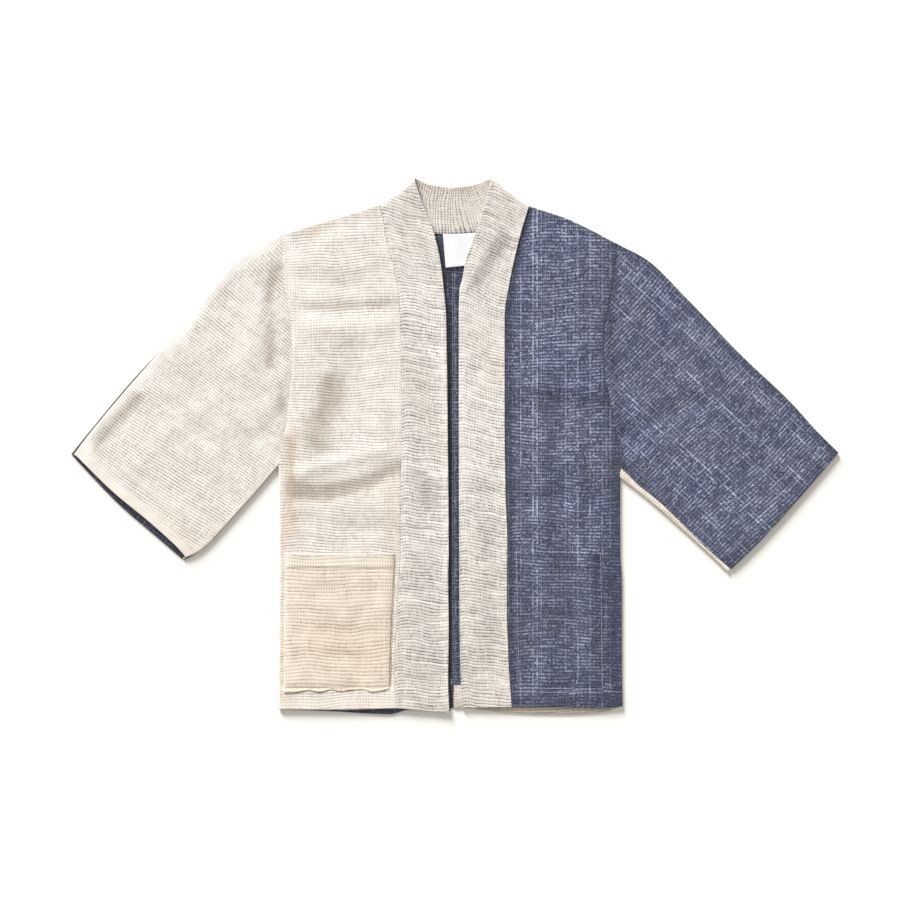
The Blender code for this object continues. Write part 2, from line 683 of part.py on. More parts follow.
def where_inset(curve, start, end, fold_point, outward, inset):
    """Place on a curve, between start and end, that lies the inset inside the fold line."""
    for _ in range(FOLD_SEARCH_STEPS):
        middle = (start + end) / 2
        if (fold_point - curve(middle)).dot(outward) > inset:
            start = middle
        else:
            end = middle
    return (start + end) / 2


def lapel_stations(seam, band_edge, fold, side, free_rest):
    """Sewn and free points of a lapel from the hem up to the start of the fold."""
    def sewn(along):
        return Vector((across_at(seam, along) - side * SEAM_GAP / 2, along))

    def free(along):
        return Vector((across_at(band_edge, along), along))
    sewn_top = where_inset(sewn, seam[-1][1] - FOLD_SEARCH, seam[-1][1], fold.sewn, fold.outward,
                           BAND_SEWN_FOLD)
    free_top = where_inset(free, band_edge[-1][1] - FOLD_SEARCH, band_edge[-1][1], fold.free,
                           fold.outward, BAND_FREE_FOLD)
    line = seam_line(seam)
    shares = [stop.share for stop in body_rows(FRONT_LEVELS, seam[-1][1], PLAIN_STEPS)]
    levels = [line(share).y for share in shares]
    levels = [level for level in levels if level < sewn_top - FOLD_CLEAR] + [sewn_top]
    stations = []
    for level in levels:
        fan = ease((level - FAN_START) / (sewn_top - FAN_START))
        free_level = mix(band_edge[0][1] + level - levels[0], free_top, fan)
        rise = ease((level - BAND_RISE_START) / (sewn_top - BAND_RISE_START))
        hem = ease((HEM_DEPTH + 2 * HEM_STEP - level) / HEM_STEP)
        sewn_rest = mix(LAPEL_REST, LAPEL_HEM_REST, hem)
        low = mix(sewn_rest, 2 * BAND_SEWN_FOLD, rise)
        high = mix(free_rest, 2 * BAND_FREE_FOLD, rise)
        stations.append((sewn(level), free(free_level), low, high))
    return stations


def fold_line(sewn_point, free_point, side):
    """Fold at the shoulder, where the band turns from the front to the back neck."""
    sewn = Vector((sewn_point[0] - side * SEAM_GAP / 2, sewn_point[1]))
    free = Vector(free_point)
    run = (free - sewn).normalized()
    outward = Vector((-run.y, run.x))
    if outward.y < 0:
        outward.negate()
    return Fold(sewn, free, outward)


def fold_rows(fold, front, neck):
    """Rows of points round the fold, from the front's last station to the neck's first."""
    run = (fold.free - fold.sewn).normalized()
    rows = []
    for degrees in FOLD_TURNS:
        turn = math.radians(degrees)
        line = []
        for share in BAND_SHARES:
            radius = mix(BAND_SEWN_FOLD, BAND_FREE_FOLD, share)
            start = front[0].lerp(front[1], share)
            end = neck[0].lerp(neck[1], share)
            slide = mix((start - fold.sewn).dot(run), (end - fold.sewn).dot(run), degrees / 180)
            spot = fold.sewn + run * slide - fold.outward * radius * (1 - math.sin(turn))
            line.append(Vector((spot.x, spot.y, radius * (1 + math.cos(turn)))))
        rows.append(line)
    return rows


def neck_stations(right_fold, left_fold):
    """Sewn and free points of the band behind the neck, from the right fold to the left."""
    def sewn(across):
        return Vector((across, along_at(NECK_SEAM, across) + SEAM_GAP / 2))

    def free(across):
        return Vector((across, along_at(NECK_BAND_EDGE, across)))
    sewn_start = where_inset(sewn, NECK_SEAM[0][0] + FOLD_SEARCH, NECK_SEAM[0][0], right_fold.sewn,
                             right_fold.outward, BAND_SEWN_FOLD)
    free_start = where_inset(free, NECK_BAND_EDGE[0][0] + FOLD_SEARCH, NECK_BAND_EDGE[0][0], right_fold.free,
                             right_fold.outward, BAND_FREE_FOLD)
    sewn_end = where_inset(sewn, NECK_SEAM[-1][0] - FOLD_SEARCH, NECK_SEAM[-1][0], left_fold.sewn,
                           left_fold.outward, BAND_SEWN_FOLD)
    free_end = where_inset(free, NECK_BAND_EDGE[-1][0] - FOLD_SEARCH, NECK_BAND_EDGE[-1][0], left_fold.free,
                           left_fold.outward, BAND_FREE_FOLD)
    inner_right = list(reversed(NECK_STOPS_RIGHT[:-1]))
    middles = inner_right + [0.0] + list(NECK_STOPS_LEFT[:-1])
    places = [sewn_start] + middles + [sewn_end]
    stations = []
    for place in places:
        share = (place - sewn_start) / (sewn_end - sewn_start)
        stations.append((sewn(place), free(mix(free_start, free_end, share))))
    return stations


def band_row(sewn, free, low, high, edge_drop):
    """Points across the band, its free edge rounded over by the drop."""
    line = []
    for share in BAND_SHARES:
        spot = sewn.lerp(free, share)
        line.append(Vector((spot.x, spot.y, mix(low, high, share) - (edge_drop if share == 1.0 else 0.0))))
    return line


def make_collar():
    """One double band: right lapel, right fold, back neck, left fold, left lapel."""
    right_fold = fold_line(RIGHT_FRONT_SEAM[-1], RIGHT_BAND_EDGE[-1], -1)
    left_fold = fold_line(LEFT_FRONT_SEAM[-1], LEFT_BAND_EDGE[-1], 1)
    right = lapel_stations(RIGHT_FRONT_SEAM, RIGHT_BAND_EDGE, right_fold, -1, RIGHT_FREE_REST)
    left = lapel_stations(LEFT_FRONT_SEAM, LEFT_BAND_EDGE, left_fold, 1, LEFT_FREE_REST)
    neck = neck_stations(right_fold, left_fold)
    grid = [band_row(*station, BAND_EDGE_DROP) for station in right[:-1]]
    grid += fold_rows(right_fold, right[-1], neck[0])
    grid += [band_row(*station, 0.0, 0.0, -BAND_EDGE_DROP) for station in neck[1:-1]]
    grid += reversed(fold_rows(left_fold, left[-1], neck[-1]))
    grid += [band_row(*station, BAND_EDGE_DROP) for station in reversed(left[:-1])]
    weights = [[0.0 if share == 1.0 else 1.0 for share in BAND_SHARES] for _ in grid]
    return cloth_solid("collar", grid, BAND_GREY, BAND_CLOTH, BAND_EDGE_THIN, weights, True)


# Pockets and label

def make_pocket(name, panel, pocket_shares, wave, looks):
    """Patch pocket made from the front panel's points, moved out."""
    columns = [index + 1 for index, share in enumerate(front_shares(pocket_shares))
               if pocket_shares[0] <= share <= pocket_shares[1]]
    low = 1 + FRONT_LEVELS.index(POCKET_BOTTOM_LEVEL)
    high = 1 + FRONT_LEVELS.index(POCKET_TOP_LEVEL)
    hem = 1 + FRONT_LEVELS.index(POCKET_HEM_LEVEL)
    lower_edge = []
    for place, column in enumerate(columns):
        lift = smooth_read(wave, place / (len(columns) - 1))
        lower_edge.append(panel[low - 1][column].lerp(panel[low][column], lift))
    under = [lower_edge] + [[panel[row][column] for column in columns] for row in range(low, high + 1)]
    grid = []
    weights = []
    for index, line in enumerate(under):
        doubled = low + index - 1 >= hem
        lift = Vector((0.0, 0.0, SEAM_GAP + POCKET_EASE + (POCKET_HEM_CLOTH if doubled else POCKET_CLOTH)))
        grid.append([point + lift for point in line])
        weights.append([1.0 if doubled else 0.0] * len(line))
    return cloth_solid(name, grid, looks, POCKET_HEM_CLOTH, POCKET_CLOTH / POCKET_HEM_CLOTH, weights, True)


def make_label():
    """Woven label hung from the back neck seam, bridging the lapped allowance."""
    top_left = Vector(LABEL_TOP_LEFT)
    top_right = Vector(LABEL_TOP_RIGHT)
    bottom_left = Vector(LABEL_BOTTOM_LEFT)
    bottom_right = Vector(LABEL_BOTTOM_RIGHT)
    grid = []
    for rise in LABEL_RISES:
        line = []
        for share in LABEL_SHARES:
            top = top_left.lerp(top_right, share)
            top.y = along_at(NECK_SEAM, top.x) - SEAM_GAP
            spot = bottom_left.lerp(bottom_right, share).lerp(top, rise)
            down = (spot.x - LABEL_STEP_START) / (LABEL_STEP_END - LABEL_STEP_START)
            under = mix(LAP_RISE + CLOTH, CLOTH, min(max(down, 0.0), 1.0))
            line.append(Vector((spot.x, spot.y, under + SEAM_GAP + LABEL_CLOTH)))
        grid.append(line)
    return cloth_solid("label", grid, LABEL_WHITE, LABEL_CLOTH, 1.0, even_weights(grid, 1.0), True)


# The jacket

def clear_scene():
    """Remove the scene's objects."""
    for thing in list(bpy.data.objects):
        bpy.data.objects.remove(thing, do_unlink=True)


def make_pieces():
    """Every piece of the jacket, in the laid jacket's own coordinates."""
    right = front_grid(RIGHT_FRONT_SEAM, RIGHT_OUTER, RIGHT_FRONT_HEM, RIGHT_SHOULDER,
                       RIGHT_UNDERARM_LEVEL, FRONT_RIGHT_CREASES, POCKET_RIGHT_SHARES)
    left = front_grid(LEFT_FRONT_SEAM, LEFT_OUTER, LEFT_FRONT_HEM, LEFT_SHOULDER,
                      LEFT_UNDERARM_LEVEL, FRONT_LEFT_CREASES, POCKET_LEFT_SHARES)
    back_right = back_grid(RIGHT_OUTER, RIGHT_BACK_HEM, RIGHT_SHOULDER, RIGHT_UNDERARM_LEVEL,
                           NECK_STOPS_RIGHT, seam_edge, PLAIN_STEPS)
    back_left = back_grid(LEFT_OUTER, LEFT_BACK_HEM, LEFT_SHOULDER, LEFT_WRAP_LEVEL,
                          NECK_STOPS_LEFT, lapped_edge, LAP_STEPS)
    pieces = [
        front_solid("front_right", right, CREAM),
        front_solid("front_left", left, INDIGO),
        back_solid("back_right", back_right, INDIGO, 2),
        back_solid("back_left", back_left, CREAM, len(LAP_STEPS)),
        make_collar(),
        make_pocket("pocket_right", right, POCKET_RIGHT_SHARES, POCKET_RIGHT_WAVE, POCKET_CREAM),
        make_pocket("pocket_left", left, POCKET_LEFT_SHARES, POCKET_LEFT_WAVE, INDIGO),
        make_label()]
    return pieces + make_sleeves()


def middle_of(pieces):
    """Middle of the box round the pieces, in plan."""
    graph = bpy.context.evaluated_depsgraph_get()
    corners = [Vector(corner) for piece in pieces for corner in piece.evaluated_get(graph).bound_box]
    return Vector([(min(c[axis] for c in corners) + max(c[axis] for c in corners)) / 2 for axis in range(2)])


def main():
    clear_scene()
    jacket = bpy.data.collections.new("Kimono jacket")
    bpy.context.scene.collection.children.link(jacket)
    origin = bpy.data.objects.new("jacket_origin", None)
    jacket.objects.link(origin)
    pieces = make_pieces()
    for piece in pieces:
        jacket.objects.link(piece)
        piece.parent = origin
    bpy.context.view_layer.update()
    middle = middle_of(pieces)
    origin.location = (-middle.x, -middle.y, 0.0)
    bpy.context.view_layer.update()


main()
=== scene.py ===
"""Looks of a kimono jacket laid flat on its back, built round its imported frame.

Metres, +Z up. Across runs from the centre-back seam towards the wearer's left (+X), and along
from the hem up to the neck (+Y). Right and left are the wearer's. Each panel is a grid of points
on the cloth's outer face, with a row of points on every quarter of a woven rib, and a thin wall
behind it. The weave's own map gives its materials their place along and across the ribs.
"""
import math
from collections import namedtuple

import bmesh
import bpy
import numpy as np
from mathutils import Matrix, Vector
from mathutils.bvhtree import BVHTree


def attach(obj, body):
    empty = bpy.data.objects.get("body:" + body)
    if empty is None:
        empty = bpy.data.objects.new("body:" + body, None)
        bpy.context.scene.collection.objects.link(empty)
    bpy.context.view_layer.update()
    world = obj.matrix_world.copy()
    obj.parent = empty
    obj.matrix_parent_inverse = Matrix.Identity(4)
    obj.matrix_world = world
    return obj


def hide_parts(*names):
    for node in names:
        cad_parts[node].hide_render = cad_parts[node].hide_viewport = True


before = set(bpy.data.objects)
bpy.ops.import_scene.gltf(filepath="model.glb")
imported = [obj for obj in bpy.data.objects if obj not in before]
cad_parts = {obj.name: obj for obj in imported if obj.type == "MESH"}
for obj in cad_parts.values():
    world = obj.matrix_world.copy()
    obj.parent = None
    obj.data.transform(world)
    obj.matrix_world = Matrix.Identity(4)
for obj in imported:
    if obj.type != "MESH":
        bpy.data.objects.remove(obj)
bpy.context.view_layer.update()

# Where the frame has the centre-back seam and the hem line
CENTRE_SEAM_X = -0.00785
HEM_LINE_Y = -0.39648

# Cloth, and heights of its outer face over the floor, as in the frame
WALL = 0.0012
POCKET_WALL = 0.0010
LABEL_WALL = 0.0005
GAP = 0.0003
FLOOR_CLEAR = 0.00005
SEAM_SHIFT = 0.0002
ROLL = 0.0019
LIP = 0.0003
WRAP_ROLL = 0.0021
HEM_TURN = 0.0013
SEAM_TOP = 0.0047
FIELD_TOP = 0.0039
HEM_TOP = 0.0055
ARMHOLE_TOP = 0.0050
SLEEVE_HEAD_TOP = 0.0041
FRONT_EDGE_TOP = 0.0043
LAP_WIDTH = 0.013
LAP_RISE = 0.0016
LAP_RUN = 0.0035
HEM_DEPTH = 0.027
HEM_STEP = 0.007
BACK_HEM_DEPTH = 0.033
CUFF_DEPTH = 0.020

# Widths of the hems, and how far from their ends they fade out
FRONT_RIGHT_WIDTH = 0.177
FRONT_LEFT_WIDTH = 0.165
BACK_RIGHT_WIDTH = 0.2558
BACK_LEFT_WIDTH = 0.2591
CUFF_WIDTH = 0.225
HEM_CLEAR = 0.0032
LAP_CLEAR = 0.0006
CUFF_CLEAR = 0.0035
STRIP_CLEAR = 0.0025

# Share of each back half's top that is neck, and how far a front laps over the sleeve's head
RIGHT_NECK_SHARE = 0.4233
LEFT_NECK_SHARE = 0.4763
ARMHOLE_LAP = 0.0009

CLOTH_LOFT = 0.0010

# Swells of the laid cloth, and how deep a trough goes before what lies under it holds it up
MILLIMETRE = 0.001
BROAD_SWELL = 0.00040
FINE_SWELL = 0.0002
FREE_DIP = 0.0006
FIRMNESS = 0.4

# Pitch of the ribs, and the slope of the sleeves' ribs in degrees
CREAM_PITCH = 0.00435
INDIGO_PITCH = 0.0050
POCKET_PITCH = 0.0054
BAND_PITCH = 0.0047
RIGHT_RIB_SLOPE = 38
LEFT_RIB_SLOPE = 47

STITCH_PITCH = 0.0036
STITCH_LENGTH = 0.0022

# The collar band
BAND_FLAT_STEPS = 18
BAND_CLOTH = 0.0027
BAND_SEWN_FOLD = 0.0034
BAND_FREE_FOLD = 0.0052
BAND_RISE_START = 0.610
FAN_START = 0.560
LAPEL_REST = 0.0052
LAPEL_HEM_REST = 0.0058
RIGHT_FREE_REST = 0.0063
LEFT_FREE_REST = 0.0058
LAPEL_RIB_DEPTH = 0.00018
NECK_RIB_DEPTH = 0.00062
WRINKLE_LENGTH = 0.0068
WRINKLE_DEPTH = 0.0007
BROAD_WRINKLE = 0.0005

# Edges of the laid jacket, columns: across, along
RIGHT_FRONT_SEAM = (
    (-0.0788, 0.0030), (-0.0818, 0.0405), (-0.0763, 0.1830), (-0.0735, 0.2355), (-0.0735, 0.3150),
    (-0.0715, 0.4425), (-0.0735, 0.5880), (-0.0768, 0.6339), (-0.0818, 0.6549), (-0.0884, 0.6836),
    (-0.0951, 0.7065), (-0.0989, 0.7353), (-0.1057, 0.7581))
LEFT_FRONT_SEAM = (
    (0.0938, 0.0055), (0.0892, 0.0742), (0.0868, 0.1545), (0.0873, 0.2550), (0.0846, 0.3276),
    (0.0834, 0.4425), (0.0834, 0.5880), (0.0910, 0.6420), (0.1063, 0.7103), (0.1197, 0.7552))
RIGHT_BAND_EDGE = (
    (0.0000, -0.0030), (-0.0017, 0.0510), (-0.0008, 0.1170), (-0.0017, 0.2055), (-0.0008, 0.2355),
    (-0.0027, 0.4425), (-0.0047, 0.5880), (-0.0090, 0.6377), (-0.0147, 0.6798), (-0.0233, 0.7161),
    (-0.0405, 0.7601), (-0.0532, 0.7980))
LEFT_BAND_EDGE = (
    (0.0180, 0.0039), (0.0170, 0.0381), (0.0150, 0.1350), (0.0145, 0.2355), (0.0138, 0.4425),
    (0.0138, 0.5880), (0.0150, 0.6300), (0.0188, 0.6453), (0.0246, 0.6759), (0.0341, 0.7028),
    (0.0456, 0.7334), (0.0542, 0.7659), (0.0630, 0.7988))
NECK_SEAM = (
    (-0.1057, 0.7581), (-0.0398, 0.7170), (0.0037, 0.7140), (0.0488, 0.7170), (0.1197, 0.7552))
NECK_BAND_EDGE = (
    (-0.0532, 0.7980), (-0.0293, 0.7883), (0.0037, 0.7845), (0.0382, 0.7883), (0.0630, 0.7988))
RIGHT_SHOULDER = ((-0.2497, 0.7140), (-0.1845, 0.7335), (-0.1057, 0.7581))
LEFT_SHOULDER = ((0.1197, 0.7552), (0.1752, 0.7369), (0.2513, 0.6990))
RIGHT_OUTER = (
    (-0.2558, 0.0015), (-0.2545, 0.1620), (-0.2541, 0.2355), (-0.2552, 0.3480), (-0.2550, 0.3680),
    (-0.2533, 0.3773), (-0.2418, 0.4425), (-0.2342, 0.5385), (-0.2363, 0.5880), (-0.2457, 0.6420),
    (-0.2497, 0.7140))
LEFT_OUTER = (
    (0.2591, 0.0060), (0.2580, 0.0750), (0.2580, 0.1950), (0.2558, 0.2355), (0.2555, 0.3441),
    (0.2552, 0.3640), (0.2517, 0.4041), (0.2403, 0.4620), (0.2307, 0.5190), (0.2303, 0.5571),
    (0.2437, 0.6420), (0.2513, 0.6990))
RIGHT_FRONT_HEM = ((-0.2558, 0.0015), (-0.1792, 0.0008), (-0.0788, 0.0030))
LEFT_FRONT_HEM = ((0.0938, 0.0055), (0.1958, 0.0045), (0.2258, 0.0035), (0.2591, 0.0060))
RIGHT_BACK_HEM = (
    (-0.2558, 0.0015), (-0.1792, -0.0015), (-0.0892, -0.0060), (-0.0600, 0.0005), (-0.0143, 0.0005),
    (0.0, -0.0015))
LEFT_BACK_HEM = (
    (0.0, 0.0030), (0.0173, 0.0030), (0.0833, -0.0030), (0.1658, -0.0053), (0.2258, -0.0030),
    (0.2591, 0.0060))
RIGHT_SLEEVE_TOP = (
    (-0.5617, 0.3835), (-0.5460, 0.4053), (-0.4695, 0.4971), (-0.3930, 0.5820), (-0.3164, 0.6735),
    (-0.2497, 0.7140))
RIGHT_SLEEVE_TOP_BACK = (
    (-0.5670, 0.3835), (-0.5478, 0.4072), (-0.4710, 0.4986), (-0.3922, 0.5808), (-0.3164, 0.6725),
    (-0.2497, 0.7140))
RIGHT_CUFF = (
    (-0.5617, 0.3835), (-0.5048, 0.3276), (-0.4529, 0.2846), (-0.4299, 0.2645), (-0.4080, 0.2440),
    (-0.3948, 0.2290))
RIGHT_CUFF_BACK = ((-0.5670, 0.3835), (-0.4962, 0.3096), (-0.4388, 0.2599), (-0.3983, 0.2250))
RIGHT_UNDERARM = ((-0.3948, 0.2290), (-0.3775, 0.2370), (-0.3164, 0.2985), (-0.2550, 0.3680))
RIGHT_UNDERARM_BACK = ((-0.3983, 0.2250), (-0.3775, 0.2370), (-0.3164, 0.2985), (-0.2550, 0.3680))
LEFT_SLEEVE_TOP = (
    (0.2513, 0.6990), (0.2958, 0.6750), (0.3493, 0.6234), (0.4337, 0.5355), (0.5101, 0.4627),
    (0.5483, 0.4206), (0.5827, 0.3861))
LEFT_CUFF = ((0.4221, 0.2115), (0.4642, 0.2523), (0.5101, 0.3019), (0.5827, 0.3861))
LEFT_CUFF_BACK = ((0.4170, 0.2063), (0.4642, 0.2523), (0.5101, 0.3019), (0.5827, 0.3861))
LEFT_UNDERARM = (
    (0.2551, 0.3660), (0.2805, 0.3441), (0.3188, 0.3135), (0.3572, 0.2752), (0.3952, 0.2370),
    (0.4221, 0.2115))
LEFT_UNDERARM_BACK = (
    (0.2555, 0.3480), (0.2918, 0.3203), (0.3379, 0.2802), (0.3801, 0.2417), (0.4103, 0.2130),
    (0.4170, 0.2063))

# Where the armholes end at the sides
RIGHT_UNDERARM_LEVEL = 0.3680
LEFT_UNDERARM_LEVEL = 0.3660
LEFT_WRAP_LEVEL = 0.3480
UNDERARM_SHARE = 0.483

# Soft strokes in picture steps of 1.5 mm: points as column, row, then half width and amount.
# The seam's column and the hem's row are where across and along are nought.
STEP = 0.0015
SEAM_COLUMN = 449.5
HEM_ROW = 710

# Ridges and troughs, in mm
FRONT_RIGHT_CREASES = (
    (((298, 311), (352, 309), (401, 307)), 7.0, -0.9), (((318, 329), (355, 327), (388, 326)), 11.0, 1.3),
    (((345, 350), (332, 390), (316, 436)), 10.0, -1.1),
    (((396, 447), (372, 452), (335, 462), (300, 474)), 8.5, 1.4),
    (((405, 470), (372, 482), (340, 491), (297, 498)), 9.0, -1.2), (((302, 443), (330, 455)), 6.5, -0.4),
    (((291, 428), (330, 444)), 7.0, 0.5), (((300, 520), (350, 526), (400, 530)), 9.0, -1.0),
    (((300, 262), (350, 268), (385, 258)), 9.0, 0.9), (((310, 285), (360, 288)), 8.0, -0.7),
    (((370, 340), (385, 390), (380, 430)), 10.0, 0.9))
FRONT_LEFT_CREASES = (
    (((516, 404), (560, 402), (612, 409)), 10.0, -0.6), (((520, 384), (565, 388), (605, 393)), 9.0, 1.5),
    (((516, 501), (560, 495), (614, 488)), 11.0, -0.7), (((520, 522), (570, 516), (610, 512)), 11.0, 1.3),
    (((604, 330), (575, 362), (535, 372)), 8.0, 1.2), (((602, 300), (560, 318), (522, 322)), 8.0, -1.1),
    (((612, 455), (580, 462), (540, 456)), 9.0, 1.0), (((530, 260), (560, 275), (590, 268)), 10.0, 0.9))
SLEEVE_RIGHT_CREASES = (
    (((97, 443), (118, 421), (138, 400)), 7.0, -1.8), (((277, 270), (270, 300)), 5.5, -1.3),
    (((272, 330), (270, 366)), 5.0, -1.0), (((288, 402), (270, 424), (252, 442)), 7.0, -0.7),
    (((263, 300), (256, 340), (245, 372)), 10.0, 1.5), (((180, 330), (210, 380), (232, 425)), 13.0, 1.0),
    (((130, 472), (170, 432), (216, 402)), 11.0, 0.9), (((152, 352), (182, 392), (202, 440)), 10.0, -1.0),
    (((240, 262), (228, 300), (214, 330)), 9.0, -0.8))
SLEEVE_LEFT_CREASES = (
    (((622, 468), (650, 452), (692, 442)), 9.0, 1.5), (((618, 440), (660, 416), (702, 402)), 8.0, -1.7),
    (((642, 300), (700, 368), (762, 440)), 11.0, 1.1), (((626, 318), (680, 390), (732, 470)), 9.0, -1.1),
    (((612, 280), (612, 340), (618, 400)), 6.0, -1.2), (((700, 520), (740, 480), (780, 450)), 9.0, -0.9))

# Painted shade in the cloth's colour above nought, and painted highlight below it: the shade of
# creases, folds and seam edges, shadows cast by the collar and lapels, and lit ridges and rims.
# A few wide strokes darken whole areas, and on the indigo front some are pale and dark upright
# stripes. The warmths make the cream front yellower along its side, hem and shoulder, and in two
# crease troughs as the warm part of their painted shade.
FRONT_RIGHT_PAINTED_SHADES = (
    (((308, 308), (350, 306), (400, 301)), 6.0, 0.60), (((298, 322), (350, 320), (400, 317)), 7.0, -0.35),
    (((350, 345), (336, 390)), 12.0, 0.45), (((332, 388), (318, 440)), 14.0, 1.05),
    (((378, 360), (390, 400)), 12.0, -0.2), (((385, 449), (340, 458), (295, 468)), 4.0, -0.25),
    (((400, 466), (366, 482), (325, 493), (295, 488)), 8.0, 1.0),
    (((350, 488), (325, 494), (297, 489)), 5.5, 1.0), (((291, 437), (291, 494)), 5.0, 0.8),
    (((300, 522), (400, 530)), 22.0, 0.40), (((288, 240), (291, 330), (287, 430)), 6.0, -0.6),
    (((284, 702), (400, 702)), 7.0, -0.5),
    (((283, 236), (285.5, 282), (292, 318), (293.4, 351), (288.3, 415), (280.6, 458)), 1.4, 0.7),
    (((279.5, 470), (279, 704)), 2.5, -0.3))
FRONT_RIGHT_WARMTHS = (
    (((292, 428), (291, 470), (291, 530)), 6.0, 1.6), (((283, 530), (282, 700)), 7.0, 0.8),
    (((284, 702), (400, 702)), 7.0, 0.5), (((300, 232), (340, 216), (380, 208)), 8.0, 0.7),
    (((291, 255), (293, 300)), 5.0, 0.4), (((300, 309), (398, 303)), 9.0, 0.3),
    (((320, 390), (312, 436)), 10.0, 0.4))
FRONT_LEFT_PAINTED_SHADES = (
    (((533, 215), (533, 690)), 4.5, -0.60), (((573, 225), (570, 690)), 8.0, -0.55),
    (((596, 240), (594, 690)), 4.0, -0.35), (((551, 230), (551, 690)), 7.0, 0.40),
    (((585, 230), (585, 690)), 3.5, 0.40), (((515, 401), (612, 402)), 12.0, 0.40),
    (((515, 493), (614, 491)), 13.0, 0.45), (((560, 460), (562, 700)), 45.0, 0.22),
    (((531, 208), (522, 237), (512, 282), (507, 318), (508, 491), (510, 540), (511, 660), (514, 706)),
     4.5, 1.5),
    (((615, 245), (609, 285), (602, 338), (604, 366), (615, 430), (617, 706)), 8.5, 0.85),
    (((611, 556), (612, 690)), 10.0, 0.5), (((555, 310), (560, 340)), 16.0, -0.30),
    (((510, 702), (621, 702)), 11.0, 0.75), (((540, 640), (600, 650)), 25.0, 0.25))
SLEEVE_RIGHT_PAINTED_SHADES = (
    (((97, 443), (118, 421), (138, 400)), 8.0, 0.7), (((277, 268), (268, 300)), 6.0, 0.8),
    (((272, 330), (270, 366)), 5.0, 0.8), (((281, 385), (281, 412)), 4.0, 0.7),
    (((284, 404), (262, 434)), 8.0, 0.25), (((252, 300), (240, 350)), 10.0, -0.30))
SLEEVE_LEFT_PAINTED_SHADES = (
    (((613, 262), (608, 330), (618, 400), (622, 468)), 6.0, 0.9),
    (((640, 272), (720, 358), (800, 440)), 4.0, -0.60), (((625, 300), (700, 385), (770, 465)), 5.0, -0.50),
    (((632, 285), (712, 372), (785, 452)), 3.5, 0.40), (((640, 330), (664, 356)), 12.0, 0.35),
    (((625, 470), (690, 520), (735, 562)), 7.0, 0.35))
COLLAR_PAINTED_SHADES = (
    (((503, 238), (490, 258), (476, 284)), 8.0, 1.1), (((415, 330), (422, 480), (424, 700)), 22.0, 0.35),
    (((480, 480), (490, 560), (485, 660)), 14.0, 0.40),
    (((398, 300), (401, 420), (398, 600), (400, 705)), 3.0, 0.15),
    (((440, 300), (445, 420), (446, 700)), 3.5, -0.50), (((455, 250), (461, 300), (462, 500)), 4.0, -0.45),
    (((415, 470), (432, 500)), 9.0, 0.35), (((378, 208), (398, 193), (413, 180)), 4.0, -0.6),
    (((490, 181), (510, 193), (527, 207)), 4.0, -0.5), (((404, 205), (425, 225), (438, 262)), 6.0, -0.25))
POCKET_RIGHT_PAINTED_SHADES = (
    (((286, 561), (390, 563)), 5.0, -0.75), (((290, 585), (385, 584)), 4.0, 0.35),
    (((300, 625), (388, 629)), 5.0, 0.35), (((310, 648), (380, 655)), 4.0, 0.35),
    (((282, 560), (282, 690)), 1.5, 0.5), (((338, 580), (338, 690)), 50.0, 0.30))
POCKET_LEFT_PAINTED_SHADES = (
    (((541, 560), (541, 690)), 8.0, -0.35), (((580, 560), (579, 690)), 8.0, -0.40),
    (((596, 560), (596, 690)), 6.0, 0.60), (((516, 560), (518, 690)), 7.0, 0.60),
    (((520, 610), (600, 612)), 8.0, 0.30), (((560, 560), (562, 690)), 45.0, 0.55),
    (((516, 556), (603, 556)), 2.5, 0.6))

# Painted shadows of the collar's free edges on the back halves, down the opening between the lapels
OPENING_PAINTED_SHADOWS = (
    (((433, 233), (440, 262), (445.5, 300), (448, 420), (449, 560), (449.5, 706)), 4.2, 1.7),
    (((459, 262), (460, 300), (460, 500), (461, 680)), 2.5, 0.35))

# Slant of the collar's ribs in degrees, by height
RIGHT_TILTS = ((0.0, 6.0), (0.30, 8.0), (0.55, 11.5), (0.76, 14.0))
LEFT_TILTS = ((0.0, 6.0), (0.20, 10.0), (0.45, 17.0), (0.66, 27.0), (0.76, 27.0))

# Pockets: shares across the front, and their levels; the wavy lower edge as share, along
POCKET_RIGHT_SHARES = (0.047, 0.957)
POCKET_LEFT_SHARES = (0.065, 0.836)
POCKET_TOP_LEVEL = 0.2340
POCKET_HEM_LEVEL = 0.2130
POCKET_RIGHT_WAVE = (
    (0.0, 0.0290), (0.06, 0.0272), (0.17, 0.0258), (0.25, 0.0296), (0.36, 0.0290), (0.46, 0.0278),
    (0.55, 0.0300), (0.67, 0.0266), (0.76, 0.0290), (0.88, 0.0262), (1.0, 0.0250))
POCKET_LEFT_WAVE = ((0.0, 0.0260), (0.3, 0.0268), (0.7, 0.0258), (1.0, 0.0264))

# What belongs to a panel's four edges; a weave's rib phase, pitch, depth and the run from an edge to
# full depth; and the ends of a fold with the way out of the neck
Edges = namedtuple("Edges", "near far low high")
Weave = namedtuple("Weave", "phase pitch depth smooth")
Fold = namedtuple("Fold", "sewn free outside")


# Tables and curves

def smooth_read(places, values, wanted):
    """Values at the wanted places on a smooth line with no overshoot."""
    places = np.array(places, float)
    values = np.array(values, float)
    width = np.diff(places)
    secants = np.diff(values) / width
    product = secants[:-1] * secants[1:]
    total = secants[:-1] + secants[1:]
    inner = np.where(product > 0, 2 * product / np.where(total == 0, 1.0, total), 0.0)
    slopes = np.concatenate(([secants[0]], inner, [secants[-1]]))
    index = np.clip(np.searchsorted(places, wanted, side="right") - 1, 0, len(width) - 1)
    share = (wanted - places[index]) / width[index]
    back = 1 - share
    return (values[index] * back ** 2 * (1 + 2 * share)
            + values[index + 1] * share ** 2 * (1 + 2 * back)
            + slopes[index] * width[index] * share * back ** 2
            - slopes[index + 1] * width[index] * share ** 2 * back)


